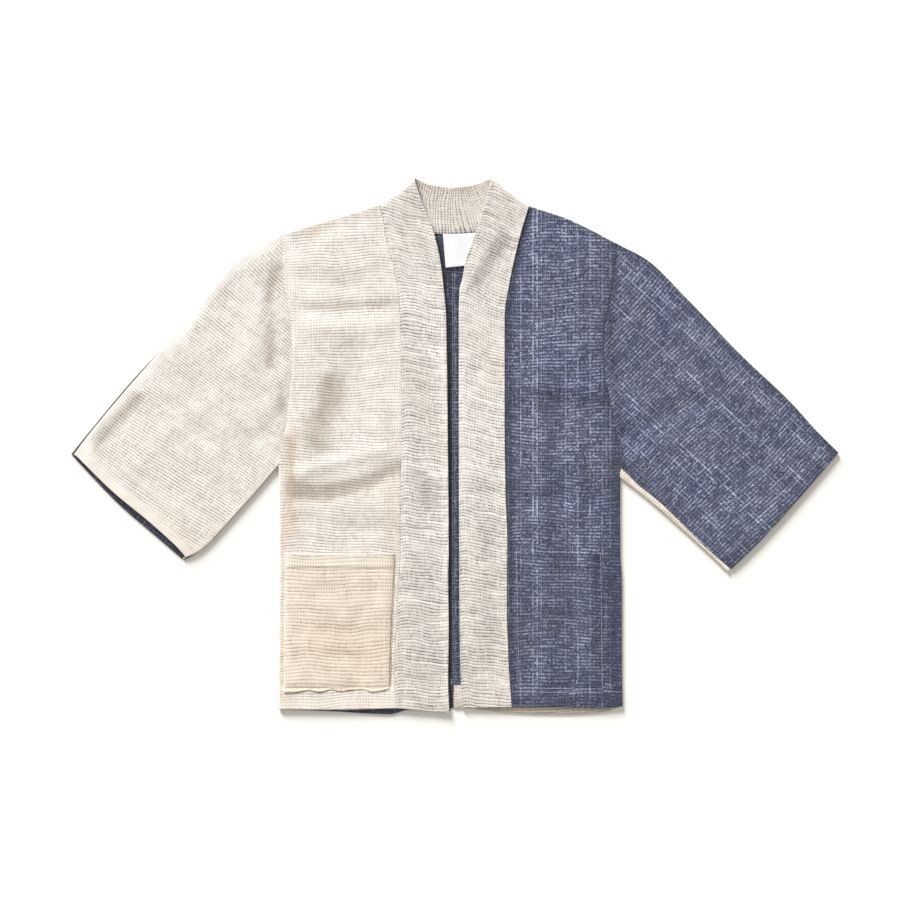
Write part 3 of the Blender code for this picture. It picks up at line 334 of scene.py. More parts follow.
def table_columns(table):
    """First and second values of a table's rows."""
    return [row[0] for row in table], [row[1] for row in table]


def along_at(table, across):
    """Along position of an edge at across positions."""
    return smooth_read(*table_columns(table), across)


def across_at(table, along):
    """Across position of an edge at along positions."""
    across, levels = table_columns(table)
    return smooth_read(levels, across, along)


def read_columns(wanted, places, table):
    """Each column of a table, whose rows lie at places, read at the wanted ones."""
    return np.stack([np.interp(wanted, places, column) for column in table.T], 1)


def lengths_along(path):
    """Distance along a path at each of its points."""
    return np.concatenate(([0.0], np.cumsum(np.linalg.norm(np.diff(path, axis=0), axis=1))))


def whole_steps(values, step):
    """Whole steps from the least to the greatest of some values."""
    return np.arange(math.ceil(values.min() / step), math.floor(values.max() / step) + 1) * step


def ease(value):
    """Smooth step from 0 to 1."""
    value = np.clip(value, 0.0, 1.0)
    return value * value * (3 - 2 * value)


def mix(start, end, share):
    """Value part of the way from start to end."""
    return start + (end - start) * share


def bell(away, width, power=2):
    """1 at nought and fading on both sides of it."""
    return np.exp(-(away / width) ** power)


def fade(away, width):
    """1 at nought and fading with the distance."""
    return np.exp(-away / width)


def unit(vectors):
    """Vectors of length one."""
    return vectors / np.maximum(np.linalg.norm(vectors, axis=-1, keepdims=True), 1e-12)


def place(across, along):
    """Points in plan."""
    return np.stack(np.broadcast_arrays(across, along), -1)


def scatter(x, y, seed):
    """Even pseudo-random values from 0 to 1 for whole numbers x and y."""
    value = np.sin(x * 127.1 + y * 311.7 + seed * 74.7) * 43758.5453
    return value - np.floor(value)


def drift(x, y, seed):
    """Smooth noise from -1 to 1, with one cell a unit."""
    x0 = np.floor(x)
    y0 = np.floor(y)
    fx = ease(x - x0)
    fy = ease(y - y0)
    low = mix(scatter(x0, y0, seed), scatter(x0 + 1, y0, seed), fx)
    high = mix(scatter(x0, y0 + 1, seed), scatter(x0 + 1, y0 + 1, seed), fx)
    return 2 * mix(low, high, fy) - 1


# Edges of a panel and the patch between them

def upright(table):
    """Edge read at shares of its height."""
    def point(share):
        along = mix(table[0][1], table[-1][1], share)
        return place(across_at(table, along), along)
    return point


def level(table, start, end):
    """Edge read at shares of the way across, from start to end."""
    def point(share):
        across = mix(start, end, share)
        return place(across, along_at(table, across))
    return point


def outer_line(table, underarm_level):
    """Outer edge of a body panel, its side below the underarm and its armhole above."""
    def point(share):
        below = mix(table[0][1], underarm_level, share / UNDERARM_SHARE)
        above = mix(underarm_level, table[-1][1], (share - UNDERARM_SHARE) / (1 - UNDERARM_SHARE))
        along = np.where(share <= UNDERARM_SHARE, below, above)
        return place(across_at(table, along), along)
    return point


def span(edges, u, v):
    """Points of the panel, in plan, at shares across and along."""
    zero = np.zeros(1)
    one = np.ones(1)
    u1 = u[..., None]
    v1 = v[..., None]
    sides = mix(edges.near(v), edges.far(v), u1)
    ends = mix(edges.low(u), edges.high(u), v1)
    corners = mix(mix(edges.near(zero), edges.far(zero), u1), mix(edges.near(one), edges.far(one), u1), v1)
    return sides + ends - corners


NEARBY = 0.005
WAY_STEPS = 300


def square_run(edges, u, v, du, dv, edge, other):
    """How fast points leave an edge with the share, measured square to the edge."""
    start_u = np.minimum(u, 1 - du)
    start_v = np.minimum(v, 1 - dv)
    run = (span(edges, start_u + du, start_v + dv) - span(edges, start_u, start_v)) / (du + dv)
    before = edge(np.maximum(other - NEARBY, 0.0))
    after = edge(np.minimum(other + NEARBY, 1.0))
    tangent = after - before
    tangent /= np.linalg.norm(tangent, axis=-1, keepdims=True)
    return np.abs(run[..., 0] * tangent[..., 1] - run[..., 1] * tangent[..., 0])


# How the cloth ends at each edge: insets from the outline and drops of the face, end first

TUCKED_END = (
    (-0.0006, 0.0012), (-0.0003, 0.0008), (0.0, 0.0005), (0.0004, 0.00025), (0.0010, 0.00010), (0.0018, 0.0))
SOFT_END = ((0.00015, 0.0009), (0.00022, 0.0005), (0.0005, 0.00024), (0.0011, 0.00008), (0.0020, 0.0))
OVER_END = ((0.0, 0.0016), (0.0, 0.0010), (0.0003, 0.0005), (0.0009, 0.0002), (0.0020, 0.0))
SHORT_END = ((0.0012, 0.0003), (0.0014, 0.0))
POCKET_SEWN_END = ((0.0, 0.0009), (0.0001, 0.0005), (0.0005, 0.0002), (0.0013, 0.0))
POCKET_CURLED_END = (
    (0.0, 0.0012), (-0.0002, 0.0004), (0.0003, -0.0002), (0.0012, -0.0006), (0.0024, -0.0004), (0.0045, 0.0))
ROLL_STEPS = (2.0, 1.5, 1.0, 0.85, 0.7, 0.55, 0.4, 0.25, 0.1, 0.0)
HEM_INSETS = (1.0, 0.97, 0.75, 0.45, 0.25, 0.10)
TURN_DEGREES = (180, 150, 120, 90, 60, 30, 0)
SOFT_DROP = 0.0007
SOFT_RUN = 0.0045
HEM_NEAR_FADE = 0.003
HEM_FAR_FADE = 0.004
SIDE_ROLL_SHARE = 0.0517
NECK_ROLL_SHARE = 0.12


def spread_steps(steps, other):
    """The same steps at every place along the edge."""
    insets = np.array([step[0] for step in steps])[:, None] * np.ones_like(other)
    drops = np.array([step[1] for step in steps])[:, None] * np.ones_like(other)
    return insets, drops


def soft_end(other):
    """Edge turned in at a seam to a neighbour lying beside it."""
    return spread_steps(SOFT_END, other)


def tucked_end(other):
    """Edge that dips under the neighbour that is sewn over it."""
    return spread_steps(TUCKED_END, other)


def over_end(other):
    """Edge that lies over the strip rolled round the underarm, more in the middle."""
    insets, drops = spread_steps(OVER_END, other)
    return insets - 0.0034 * ease(other / 0.2) * ease((1 - other) / 0.25), drops


def short_end(other):
    """Cut edge hidden behind a longer one."""
    return spread_steps(SHORT_END, other)


def part_roll(full, lap):
    """Edge that passes from a soft end at full 0, reaching the lap past its outline, to a
    pressed roll and an upright lip at full 1."""
    steps = np.array(ROLL_STEPS)[:, None]
    turn = full * math.pi / 2
    strip = ROLL * math.pi / 2
    flat = strip - ROLL * turn
    gone = np.minimum(steps, 1.0) * strip
    lip = np.maximum(steps - 1.0, 0.0) * LIP
    angle = np.maximum(gone - flat, 0.0) / ROLL
    reach = flat + ROLL * np.sin(turn) + LIP * np.cos(turn)
    inset = reach - np.minimum(gone, flat) - ROLL * np.sin(angle) - lip * np.cos(turn)
    soft = SOFT_DROP * np.clip(1 - inset / SOFT_RUN, 0.0, 1.0) ** 2
    drop = ROLL * (1 - np.cos(angle)) + lip * np.sin(turn)
    return inset - (1 - full) * lap, drop + (1 - full) * soft


def rolled_end(other):
    """Seam to the panel on the other side of the jacket."""
    insets, drops = part_roll(np.ones_like(other), 0.0)
    return insets - SEAM_SHIFT, drops


def under_end(other):
    """The same seam on the lower panel, a little further in."""
    insets, drops = part_roll(np.ones_like(other), 0.0)
    return insets + SEAM_SHIFT, drops


def opening_roll(share):
    """Full roll at share 1 and soft end at share 0."""
    return 1 - (1 - np.clip(share, 0.0, 1.0)) ** 2


def outer_end(lap):
    """Body's outer edge: rolled at the side and soft at the armhole, over the sleeve's head."""
    shift = -SEAM_SHIFT if lap else SEAM_SHIFT

    def end(other):
        insets, drops = part_roll(opening_roll((UNDERARM_SHARE - other) / SIDE_ROLL_SHARE), lap)
        return insets + shift, drops
    return end


def top_end(neck_share):
    """Top of a back panel: soft at the neck and rolled at the shoulder."""
    def end(other):
        full = opening_roll((other - neck_share) / NECK_ROLL_SHARE)
        insets, drops = part_roll(full, -GAP / 2)
        return insets + SEAM_SHIFT * full, drops
    return end


def sleeve_head_end(other):
    """Seam to the armhole, eased where the rolled seams meet at the shoulder."""
    insets, drops = tucked_end(other)
    return insets + 0.0012 * ease(1 - (1 - other) / 0.05), drops


def lapped_end(other):
    """Centre-back seam, whose allowance steps up and lies over the other half, wider at the neck."""
    width = LAP_WIDTH * (1 + 0.95 * ease((other - 0.84) / 0.08))
    insets = [-share * width for share in (1.0, 0.99, 0.9, 0.5, 0.2, 0.0)]
    drops = [0.0012, 0.0015] + [LAP_RISE] * 4
    for share in (0.2, 0.4, 0.6, 0.8, 1.0):
        insets.append(share * LAP_RUN * np.ones_like(other))
        drops.append(LAP_RISE * (1 - ease(share)))
    return np.stack(insets), np.array(drops)[:, None] * np.ones_like(other)


def hem_end(width, depth, near_clear, far_clear):
    """Hem turned up inside, fading out over the rolled and the lapped ends."""
    def end(other):
        keep = np.ones_like(other)
        if near_clear:
            keep = ease((other * width - near_clear) / HEM_NEAR_FADE)
        keep = keep * ease(((1 - other) * width - far_clear) / HEM_FAR_FADE)
        steps = [(inset * depth + HEM_TURN, 2 * HEM_TURN) for inset in HEM_INSETS]
        for degrees in TURN_DEGREES:
            angle = math.radians(degrees)
            steps.append((HEM_TURN * (1 - math.sin(angle)), HEM_TURN * (1 - math.cos(angle))))
        insets, drops = spread_steps(steps, other)
        return insets * keep, drops * keep
    return end


# Laying a panel

def stroke_sum(strokes, across, along):
    """Sum of soft strokes at places, columns: places in picture steps, half width, amount."""
    total = np.zeros_like(across)
    for line, half_width, amount in strokes:
        nearest = np.full_like(across, 9.0)
        spots = [((column - SEAM_COLUMN) * STEP, (HEM_ROW - row) * STEP) for column, row in line]
        for start, end in zip(spots[:-1], spots[1:]):
            run_x = end[0] - start[0]
            run_y = end[1] - start[1]
            share = ((across - start[0]) * run_x + (along - start[1]) * run_y) / (run_x ** 2 + run_y ** 2)
            share = np.clip(share, 0.0, 1.0)
            away = np.hypot(across - start[0] - share * run_x, along - start[1] - share * run_y)
            nearest = np.minimum(nearest, away)
        width = half_width * STEP * (1 + 0.25 * drift(across / 0.02, along / 0.02, half_width))
        total += amount * np.exp(-(nearest / width) ** 2)
    return total


def crease_height(creases, across, along, loft):
    """Height of the soft ridges and troughs over the flat cloth, kept off what lies under it."""
    height = MILLIMETRE * stroke_sum(creases, across, along) * loft + CLOTH_LOFT * loft
    broad = BROAD_SWELL * drift(across / 0.045, along / 0.055, 17)
    fine = FINE_SWELL * drift(across / 0.017, along / 0.02, 18)
    height += loft * (broad + fine)
    return np.where(height < -FREE_DIP, -FREE_DIP + FIRMNESS * (height + FREE_DIP), height)


def rib_ways(edges, weave, shares, start, stop, quarter):
    """Shares along each column, between two ends, where the quarters of the ribs lie."""
    ways = mix(start, stop, np.linspace(0, 1, WAY_STEPS)[:, None])
    spots = span(edges, np.broadcast_to(shares, ways.shape), ways)
    phases = np.maximum.accumulate(weave.phase(spots[..., 0], spots[..., 1]), axis=0)
    marks = whole_steps(phases, weave.pitch * quarter)
    return np.stack([np.interp(marks, *pair) for pair in zip(phases.T, ways.T)], 1)


def edge_distances(edges, u, v):
    """Distances of points from the four edges of a panel."""
    inside_u = np.clip(u, 0.0, 1.0)
    inside_v = np.clip(v, 0.0, 1.0)
    width = np.linalg.norm(edges.far(inside_v) - edges.near(inside_v), axis=-1)
    length = np.linalg.norm(edges.high(inside_u) - edges.low(inside_u), axis=-1)
    return Edges(u * width, (1 - u) * width, v * length, (1 - v) * length)


def lay(edges, ends, count, face, weave, quarter=0.25):
    """Points on a panel's outer face and their distances from its edges.

    Columns are shares across; between the ends the rows lie on quarters of each rib."""
    inner = np.linspace(0, 1, count + 1)[1:-1]
    near = len(ends.near(np.zeros(1))[0])
    far = len(ends.far(np.zeros(1))[0])
    shares = np.concatenate((np.zeros(near), inner, np.ones(far)))
    low_in, low_drop = ends.low(shares)
    high_in, high_drop = ends.high(shares)
    low_v = low_in / square_run(edges, shares, np.zeros_like(shares), 0.0, NEARBY, edges.low, shares)
    high_v = 1 - high_in / square_run(edges, shares, np.ones_like(shares), 0.0, NEARBY, edges.high, shares)
    ribs = rib_ways(edges, weave, shares, low_v[-1], high_v[-1], quarter)

    v = np.concatenate((low_v, ribs, high_v[::-1]))
    rise = np.concatenate((low_drop, np.zeros_like(ribs), high_drop[::-1]))
    u = np.broadcast_to(shares, v.shape).copy()
    last = len(shares) - 1
    for end, edge, nominal, columns in (
            (ends.near, edges.near, 0.0, range(near)),
            (ends.far, edges.far, 1.0, range(last, last - far, -1))):
        for index, column in enumerate(columns):
            places = np.clip(v[:, column], 0.0, 1.0)
            insets, drops = end(places)
            share = insets[index] / square_run(edges, np.full_like(places, nominal), places, NEARBY, 0.0,
                                               edge, places)
            u[:, column] = 1 - share if nominal else share
            rise[:, column] += drops[index]

    spot = span(edges, u, v)
    away = edge_distances(edges, u, v)
    height = face(spot[..., 0], spot[..., 1], away, rise)
    return np.concatenate((spot, height[..., None]), -1), away


def rib_profile(turns):
    """Depth below a rib's crown, 0 to 1, at a place counted in ribs."""
    return 1 - np.abs(np.sin(np.pi * turns)) ** 0.7


def with_ribs(points, away, weave, upwards):
    """Points pressed in between the ribs, unevenly from rib to rib and not at the edges."""
    x = points[..., 0]
    y = points[..., 1]
    turns = weave.phase(x, y) / weave.pitch
    fullness = 0.9 + 0.55 * drift(x / 0.018, np.floor(turns + 0.5), 3) + 0.3 * drift(x / 0.04, y / 0.03, 8)
    uneven = 0.35 * weave.depth * drift(x / 0.03 + 9, turns * 0.7, 4)
    rim = np.minimum(np.minimum(away.near, away.far), np.minimum(away.low, away.high))
    depth = (weave.depth * fullness * rib_profile(turns) + uneven) * ease((rim - 0.0012) / weave.smooth)
    pressed = points.copy()
    pressed[..., 2] -= depth if upwards else -depth
    return pressed


FRAME_SHIFT = np.array((CENTRE_SEAM_X, HEM_LINE_Y, 0.0))
MERGE_DISTANCE = 2e-6


def add_object(name, data):
    """Object of a mesh, a light or a camera, in the scene."""
    item = bpy.data.objects.new(name, data)
    bpy.context.scene.collection.objects.link(item)
    return item


def fill_map(mesh, name, values, corners):
    """Map of a mesh from the values at its points."""
    layer = mesh.uv_layers.new(name=name)
    layer.data.foreach_set("uv", values.reshape(-1, 2)[corners].astype(np.float32).ravel())


def grid_mesh(name, points, weave_spots, tones, materials, upwards, loop=False):
    """Mesh of a grid of points, moved to the frame, with its weave map and its painted shade and warmth map.
    """
    rows, columns = points.shape[:2]
    moved = points + FRAME_SHIFT
    moved[..., 2] = np.maximum(moved[..., 2], FLOOR_CLEAR)
    index = np.arange(rows * columns).reshape(rows, columns)
    if loop:
        index = np.concatenate((index, index[:, :1]), 1)
    quads = np.stack((index[:-1, :-1], index[:-1, 1:], index[1:, 1:], index[1:, :-1]), -1).reshape(-1, 4)
    corners = moved.reshape(-1, 3)[quads][..., :2]
    one = corners[:, 2] - corners[:, 0]
    two = corners[:, 3] - corners[:, 1]
    plan_area = (one[:, 0] * two[:, 1] - one[:, 1] * two[:, 0]).sum()
    if not loop and (plan_area > 0) != upwards:
        quads = quads[:, ::-1]
    mesh = bpy.data.meshes.new(name)
    mesh.vertices.add(rows * columns)
    mesh.vertices.foreach_set("co", moved.astype(np.float32).ravel())
    mesh.loops.add(quads.size)
    mesh.loops.foreach_set("vertex_index", quads.astype(np.int32).ravel())
    mesh.polygons.add(len(quads))
    mesh.polygons.foreach_set("loop_start", np.arange(0, quads.size, 4, dtype=np.int32))
    mesh.update(calc_edges=True)
    fill_map(mesh, "weave", weave_spots, quads.ravel())
    fill_map(mesh, "tone", tones, quads.ravel())
    for material in materials:
        mesh.materials.append(material)
    build = bmesh.new()
    build.from_mesh(mesh)
    bmesh.ops.remove_doubles(build, verts=build.verts, dist=MERGE_DISTANCE)
    if loop:
        rims = [edge for edge in build.edges if edge.is_boundary]
        bmesh.ops.holes_fill(build, edges=rims, sides=0)
        bmesh.ops.recalc_face_normals(build, faces=build.faces)
    build.to_mesh(mesh)
    build.free()
    mesh.shade_smooth()
    return add_object(name, mesh)


def add_wall(piece, thick=WALL):
    """Cloth behind the outer face, its inner side in the second material."""
    wall = piece.modifiers.new("Wall", "SOLIDIFY")
    wall.thickness = thick
    wall.offset = -1.0
    wall.use_even_offset = False
    wall.use_quality_normals = True
    wall.material_offset = 1 if len(piece.data.materials) > 1 else 0
    return piece


def tone_map(shade, warmth):
    """Painted shade (painted highlight below nought) and warmth, about nought, as the map holds them, about a
    half.
    """
    return np.stack((0.5 + 0.5 * shade, 0.5 + 0.5 * warmth), -1)


def plain_tone(x, y, away):
    """No shading of the cloth's own colour."""
    return tone_map(0 * x, 0 * x)


def dark_tone(x, y, away):
    """Cloth in the shade of the one over it."""
    return tone_map(1 + 0 * x, 0 * x)


def stroked_tone(strokes, warmth):
    """Painted shade and highlight from soft strokes, and warmth from a function."""
    def tone(x, y, away):
        return tone_map(stroke_sum(strokes, x, y), warmth(x, y, away))
    return tone


def weave_places(points, weave, along_rib):
    """Places along the ribs, and across them as the weave runs."""
    x = points[..., 0]
    y = points[..., 1]
    return np.stack((x * along_rib[0] + y * along_rib[1], weave.phase(x, y)), -1)


def panel(name, edges, ends, count, face, weave, materials, upwards, along_rib=(1.0, 0.0),
          tone=plain_tone, quarter=0.25):
    """A cloth piece of one panel."""
    points, away = lay(edges, ends, count, face, weave, quarter)
    ribbed = with_ribs(points, away, weave, upwards)
    spots = weave_places(points, weave, along_rib)
    tones = tone(points[..., 0], points[..., 1], away)
    return add_wall(grid_mesh(name, ribbed, spots, tones, materials, upwards))


# Weave directions

def front_phase(x, y):
    """Level ribs with a slow sway."""
    return (y + 0.0030 * np.sin(x * 21 + y * 9 + 0.6) + 0.0012 * np.sin(x * 55 - y * 31)
            + 0.0010 * drift(x / 0.028, y / 0.045, 5))


def pocket_phase(x, y):
    """Level ribs with more sway, as in a looser cloth."""
    return y + 0.0022 * np.sin(x * 40 + y * 14) + 0.0016 * drift(x / 0.03, y / 0.03, 6)


# Where the ribs' slope is measured from, and the level at which it starts to turn
ARMHOLE_X = 0.250
SLEEVE_TOP_Y = 0.714
RIB_TURN_LEVEL = 0.560
RIB_TURN_REACH = 0.36
RIGHT_RIB_BEND = 0.7
LEFT_RIB_BEND = 0.5


def rib_step(side, slope):
    """Step of unit length along a sleeve's ribs, in plan."""
    return math.cos(math.radians(slope)), side * math.sin(math.radians(slope))


def sleeve_phase(side, slope, bend):
    """Ribs along the cuff, steeper at the armhole's top and flatter towards the underarm."""
    sine = math.sin(math.radians(slope))
    cosine = math.cos(math.radians(slope))

    def phase(x, y):
        out = side * x - ARMHOLE_X
        shaft = out * sine - (y - SLEEVE_TOP_Y) * cosine
        near_arm = 1 - ease(out / RIB_TURN_REACH)
        level_in = np.maximum(y, 0.28 + 0.3 * y)
        turn = bend * near_arm * (level_in - RIB_TURN_LEVEL) ** 2
        sway = 0.0014 * np.sin(x * 34 + y * 21) + 0.0009 * drift(x / 0.03, y / 0.035, 7)
        return shaft + turn + sway
    return phase


# Body panels

def front_face(creases):
    """Height of a front panel's outer face."""
    def face(x, y, away, rise):
        loft = ease(away.near / 0.03) * ease(away.far / 0.02) * ease(away.high / 0.04)
        loft = loft * ease((away.low - HEM_DEPTH) / 0.02)
        top = FIELD_TOP + crease_height(creases, x, y, loft)
        top = mix(FRONT_EDGE_TOP, top, ease(away.near / 0.015))
        top = mix(SEAM_TOP, top, ease((away.high - ROLL) / 0.020))
        side_top = np.where(y < RIGHT_UNDERARM_LEVEL, SEAM_TOP, ARMHOLE_TOP)
        side_top = mix(SEAM_TOP, side_top, ease((away.high - 0.005) / 0.015))
        top = mix(side_top, top, ease((away.far - ROLL) / 0.012))
        hem_top = mix(SEAM_TOP, HEM_TOP, ease((away.far - ROLL) / 0.005))
        top = mix(hem_top, top, ease((away.low - HEM_DEPTH) / HEM_STEP))
        return top - rise
    return face


def floor_face(x, y, away, rise):
    """Height of a back panel's or sleeve back's outer face, on the floor."""
    return rise


def front_edges(seam, outer, hem, shoulder, underarm_level):
    """Edges of a front panel, near at the collar and far at the side."""
    return Edges(upright(seam), outer_line(outer, underarm_level),
                 level(hem, seam[0][0], outer[0][0]), level(shoulder, seam[-1][0], outer[-1][0]))


RIGHT_FRONT = front_edges(
    RIGHT_FRONT_SEAM, RIGHT_OUTER, RIGHT_FRONT_HEM, RIGHT_SHOULDER, RIGHT_UNDERARM_LEVEL)
LEFT_FRONT = front_edges(
    LEFT_FRONT_SEAM, LEFT_OUTER, LEFT_FRONT_HEM, LEFT_SHOULDER, LEFT_UNDERARM_LEVEL)
RIGHT_SEAM_TOP = RIGHT_FRONT_SEAM[-1][1]
LEFT_SEAM_TOP = LEFT_FRONT_SEAM[-1][1]


def back_edges(outer, hem, shoulder, underarm_level):
    """Edges of a back panel, near at the centre-back seam and far at the side."""
    neck_point = NECK_SEAM[0][0] if outer[0][0] < 0 else NECK_SEAM[-1][0]
    neck_centre = float(along_at(NECK_SEAM, np.zeros(1))[0])
    hem_centre = float(along_at(hem, np.zeros(1))[0])

    def high(share):
        across = mix(0.0, outer[-1][0], share)
        along = np.where(np.abs(across) <= abs(neck_point), along_at(NECK_SEAM, across),
                         along_at(shoulder, across))
        return place(across, along)

    def near(share):
        return place(0.0 * share, mix(hem_centre, neck_centre, share))
    return Edges(near, outer_line(outer, underarm_level), level(hem, 0.0, outer[0][0]), high)


def front_warmth(x, y, away):
    """Yellower towards the hem, at the side and at the shoulder, and in two crease troughs with their painted
    shade.
    """
    return -0.2 + 0.7 * ease((0.50 - y) / 0.35) + stroke_sum(FRONT_RIGHT_WARMTHS, x, y)


def indigo_warmth(x, y, away):
    """Greyer in wide patches."""
    return 0.5 * drift(x / 0.05, y / 0.06, 61)


def dress(piece, node):
    """Hang a cloth piece on the root, and hide the frame's part for its node."""
    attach(piece, "root")
    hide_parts(node)
    return piece


def make_fronts(looks):
    """Front panels with their hems turned up inside."""
    cream = Weave(front_phase, CREAM_PITCH, 0.00016, 0.008)
    indigo = Weave(front_phase, INDIGO_PITCH, 0.00008, 0.003)
    ends = Edges(tucked_end, outer_end(ARMHOLE_LAP), hem_end(FRONT_RIGHT_WIDTH, HEM_DEPTH, 0.0, HEM_CLEAR),
                 rolled_end)
    right = panel("front_right_cloth", RIGHT_FRONT, ends, 30, front_face(FRONT_RIGHT_CREASES), cream,
                  (looks["cream"], looks["indigo_in_painted_shade"]), True,
                  tone=stroked_tone(FRONT_RIGHT_PAINTED_SHADES, front_warmth))
    ends = ends._replace(low=hem_end(FRONT_LEFT_WIDTH, HEM_DEPTH, 0.0, HEM_CLEAR))
    left = panel("front_left_cloth", LEFT_FRONT, ends, 28, front_face(FRONT_LEFT_CREASES), indigo,
                 (looks["indigo"], looks["cream_inside"]), True,
                 tone=stroked_tone(FRONT_LEFT_PAINTED_SHADES, indigo_warmth))
    dress(right, "front_right")
    dress(left, "front_left")
    return right, left


def back_tone(x, y, away):
    """Painted shade on the turned-up hem inside and at the hem's edge, and painted shadows in the opening."""
    shade = np.interp(away.low, (0.0, 0.012, 0.034, 0.036), (1.7, 0.55, 0.40, 0.0))
    return tone_map(shade + stroke_sum(OPENING_PAINTED_SHADOWS, x, y), 0.4 + 0 * x)


def make_backs(looks):
    """Back halves, flat on the floor, the left one's allowance lapped over the right."""
    cream = Weave(front_phase, CREAM_PITCH, 0.00030, 0.006)
    indigo = Weave(front_phase, INDIGO_PITCH, 0.00022, 0.003)
    edges = back_edges(RIGHT_OUTER, RIGHT_BACK_HEM, RIGHT_SHOULDER, RIGHT_UNDERARM_LEVEL)
    ends = Edges(soft_end, outer_end(0.0), hem_end(BACK_RIGHT_WIDTH, HEM_DEPTH, 0.0, HEM_CLEAR),
                 top_end(RIGHT_NECK_SHARE))
    right = panel("back_right_cloth", edges, ends, 36, floor_face, indigo,
                  (looks["indigo"], looks["cream_inside"]), False, tone=back_tone, quarter=1 / 3)
    edges = back_edges(LEFT_OUTER, LEFT_BACK_HEM, LEFT_SHOULDER, LEFT_WRAP_LEVEL)
    ends = Edges(lapped_end, outer_end(0.0), hem_end(BACK_LEFT_WIDTH, BACK_HEM_DEPTH, LAP_CLEAR, HEM_CLEAR),
                 top_end(LEFT_NECK_SHARE))
    left = panel("back_left_cloth", edges, ends, 36, floor_face, cream,
                 (looks["cream"], looks["indigo_in_painted_shade"]), False, tone=back_tone, quarter=1 / 3)
    dress(right, "back_right")
    dress(left, "back_left")
    return right, left


# Sleeves

def sleeve_edges(outer, underarm_level, cuff, underarm, top):
    """Edges of a sleeve half, near at the underarm, far at the top, low at the armhole."""
    def armhole(share):
        along = mix(underarm_level, outer[-1][1], share)
        return place(across_at(outer, along), along)

    armhole_low = float(across_at(outer, np.array([underarm_level]))[0])
    cuff_low = min(cuff, key=lambda row: row[1])[0]
    cuff_high = max(cuff, key=lambda row: row[1])[0]
    return Edges(level(underarm, armhole_low, cuff_low), level(top, outer[-1][0], cuff_high),
                 armhole, level(cuff, cuff_low, cuff_high))


def sleeve_face(creases):
    """Height of a sleeve's front half, thicker over the turned cuff."""
    def face(x, y, away, rise):
        loft = ease(away.near / 0.02) * ease(away.far / 0.012) * ease(away.low / 0.012)
        loft = loft * ease((away.high - CUFF_DEPTH) / 0.015)
        top = FIELD_TOP + crease_height(creases, x, y, loft)
        top = mix(SLEEVE_HEAD_TOP, top, ease(away.low / 0.015))
        inner = ease((away.far - ROLL) / 0.015) * ease((away.near - ROLL) / 0.015)
        cuff = ease((CUFF_DEPTH + HEM_STEP - away.high) / HEM_STEP)
        top = mix(SEAM_TOP, mix(top, HEM_TOP, cuff), inner)
        return top - rise
    return face


def sleeve_warmth(x, y, away):
    """Yellower at the cuff and the underarm."""
    return -0.2 + 1.3 * bell(away.high, 0.022) + 0.7 * fade(away.near, 0.012)


def sleeve_cream_tone(strokes):
    """Painted shade and highlight: strokes, a little shade all over, a cuff and upper edge that are
    paler, partly painted highlight, with fainter lines and bump, a shade line just inside each,
    and a paler underarm edge.
    """
    def tone(x, y, away):
        shade = 0.15 + stroke_sum(strokes, x, y)
        shade = shade - 1.05 * bell(away.high, 0.020, 4) + 0.40 * bell(away.high - 0.0225, 0.003)
        shade = shade - 1.05 * bell(away.far, 0.015, 4) + 0.25 * bell(away.far - 0.017, 0.004)
        return tone_map(shade - 0.30 * bell(away.near, 0.010), sleeve_warmth(x, y, away))
    return tone


def sleeve_indigo_tone(strokes):
    """Painted shade and highlight from strokes, and painted shade at the cuff and along the edges."""
    def tone(x, y, away):
        shade = stroke_sum(strokes, x, y) + 0.60 * bell(away.high, 0.017, 4) + 0.85 * bell(away.far, 0.013)
        return tone_map(shade + 0.35 * bell(away.near, 0.014), indigo_warmth(x, y, away))
    return tone


WRAP_SHARES = (1.0, 0.9, 0.8, 0.7, 0.6, 0.45, 0.3, 0.15, 0.0)
WRAP_DEGREES = range(165, 0, -15)
# Painted shade and the warmth of the strip rolled round the underarm
WRAP_SHADE = 0.32
WRAP_WARMTH = 0.56
NEAREST_STEPS = 1500


def wrapped_strip(back_low, front_low, shares):
    """Rows of a sleeve back that rolls round the underarm up to the front half's seam."""
    start = back_low(shares)
    reach = front_low(shares) - start
    size = np.linalg.norm(reach, axis=-1, keepdims=True)
    toward = reach / size
    columns = []
    for share in WRAP_SHARES:
        spot = start + toward * (WRAP_ROLL + share * (size + 0.0005 - WRAP_ROLL))
        rise = 2 * WRAP_ROLL - 0.0016 * ease((share - 0.35) / 0.6)
        columns.append(np.concatenate((spot, np.full_like(size, rise)), -1))
    for degrees in WRAP_DEGREES:
        turn = math.radians(degrees)
        spot = start + toward * WRAP_ROLL * (1 - math.sin(turn))
        columns.append(np.concatenate((spot, np.full_like(size, WRAP_ROLL * (1 - math.cos(turn)))), -1))
    return np.stack(columns, 1)


def nearest_shares(spots, edge):
    """Shares along an edge nearest to a column of points."""
    samples = np.linspace(0, 1, NEAREST_STEPS)
    line = edge(samples)
    distance = np.linalg.norm(spots[:, None, :] - line[None, :, :], axis=-1)
    return np.maximum.accumulate(samples[np.argmin(distance, axis=1)])


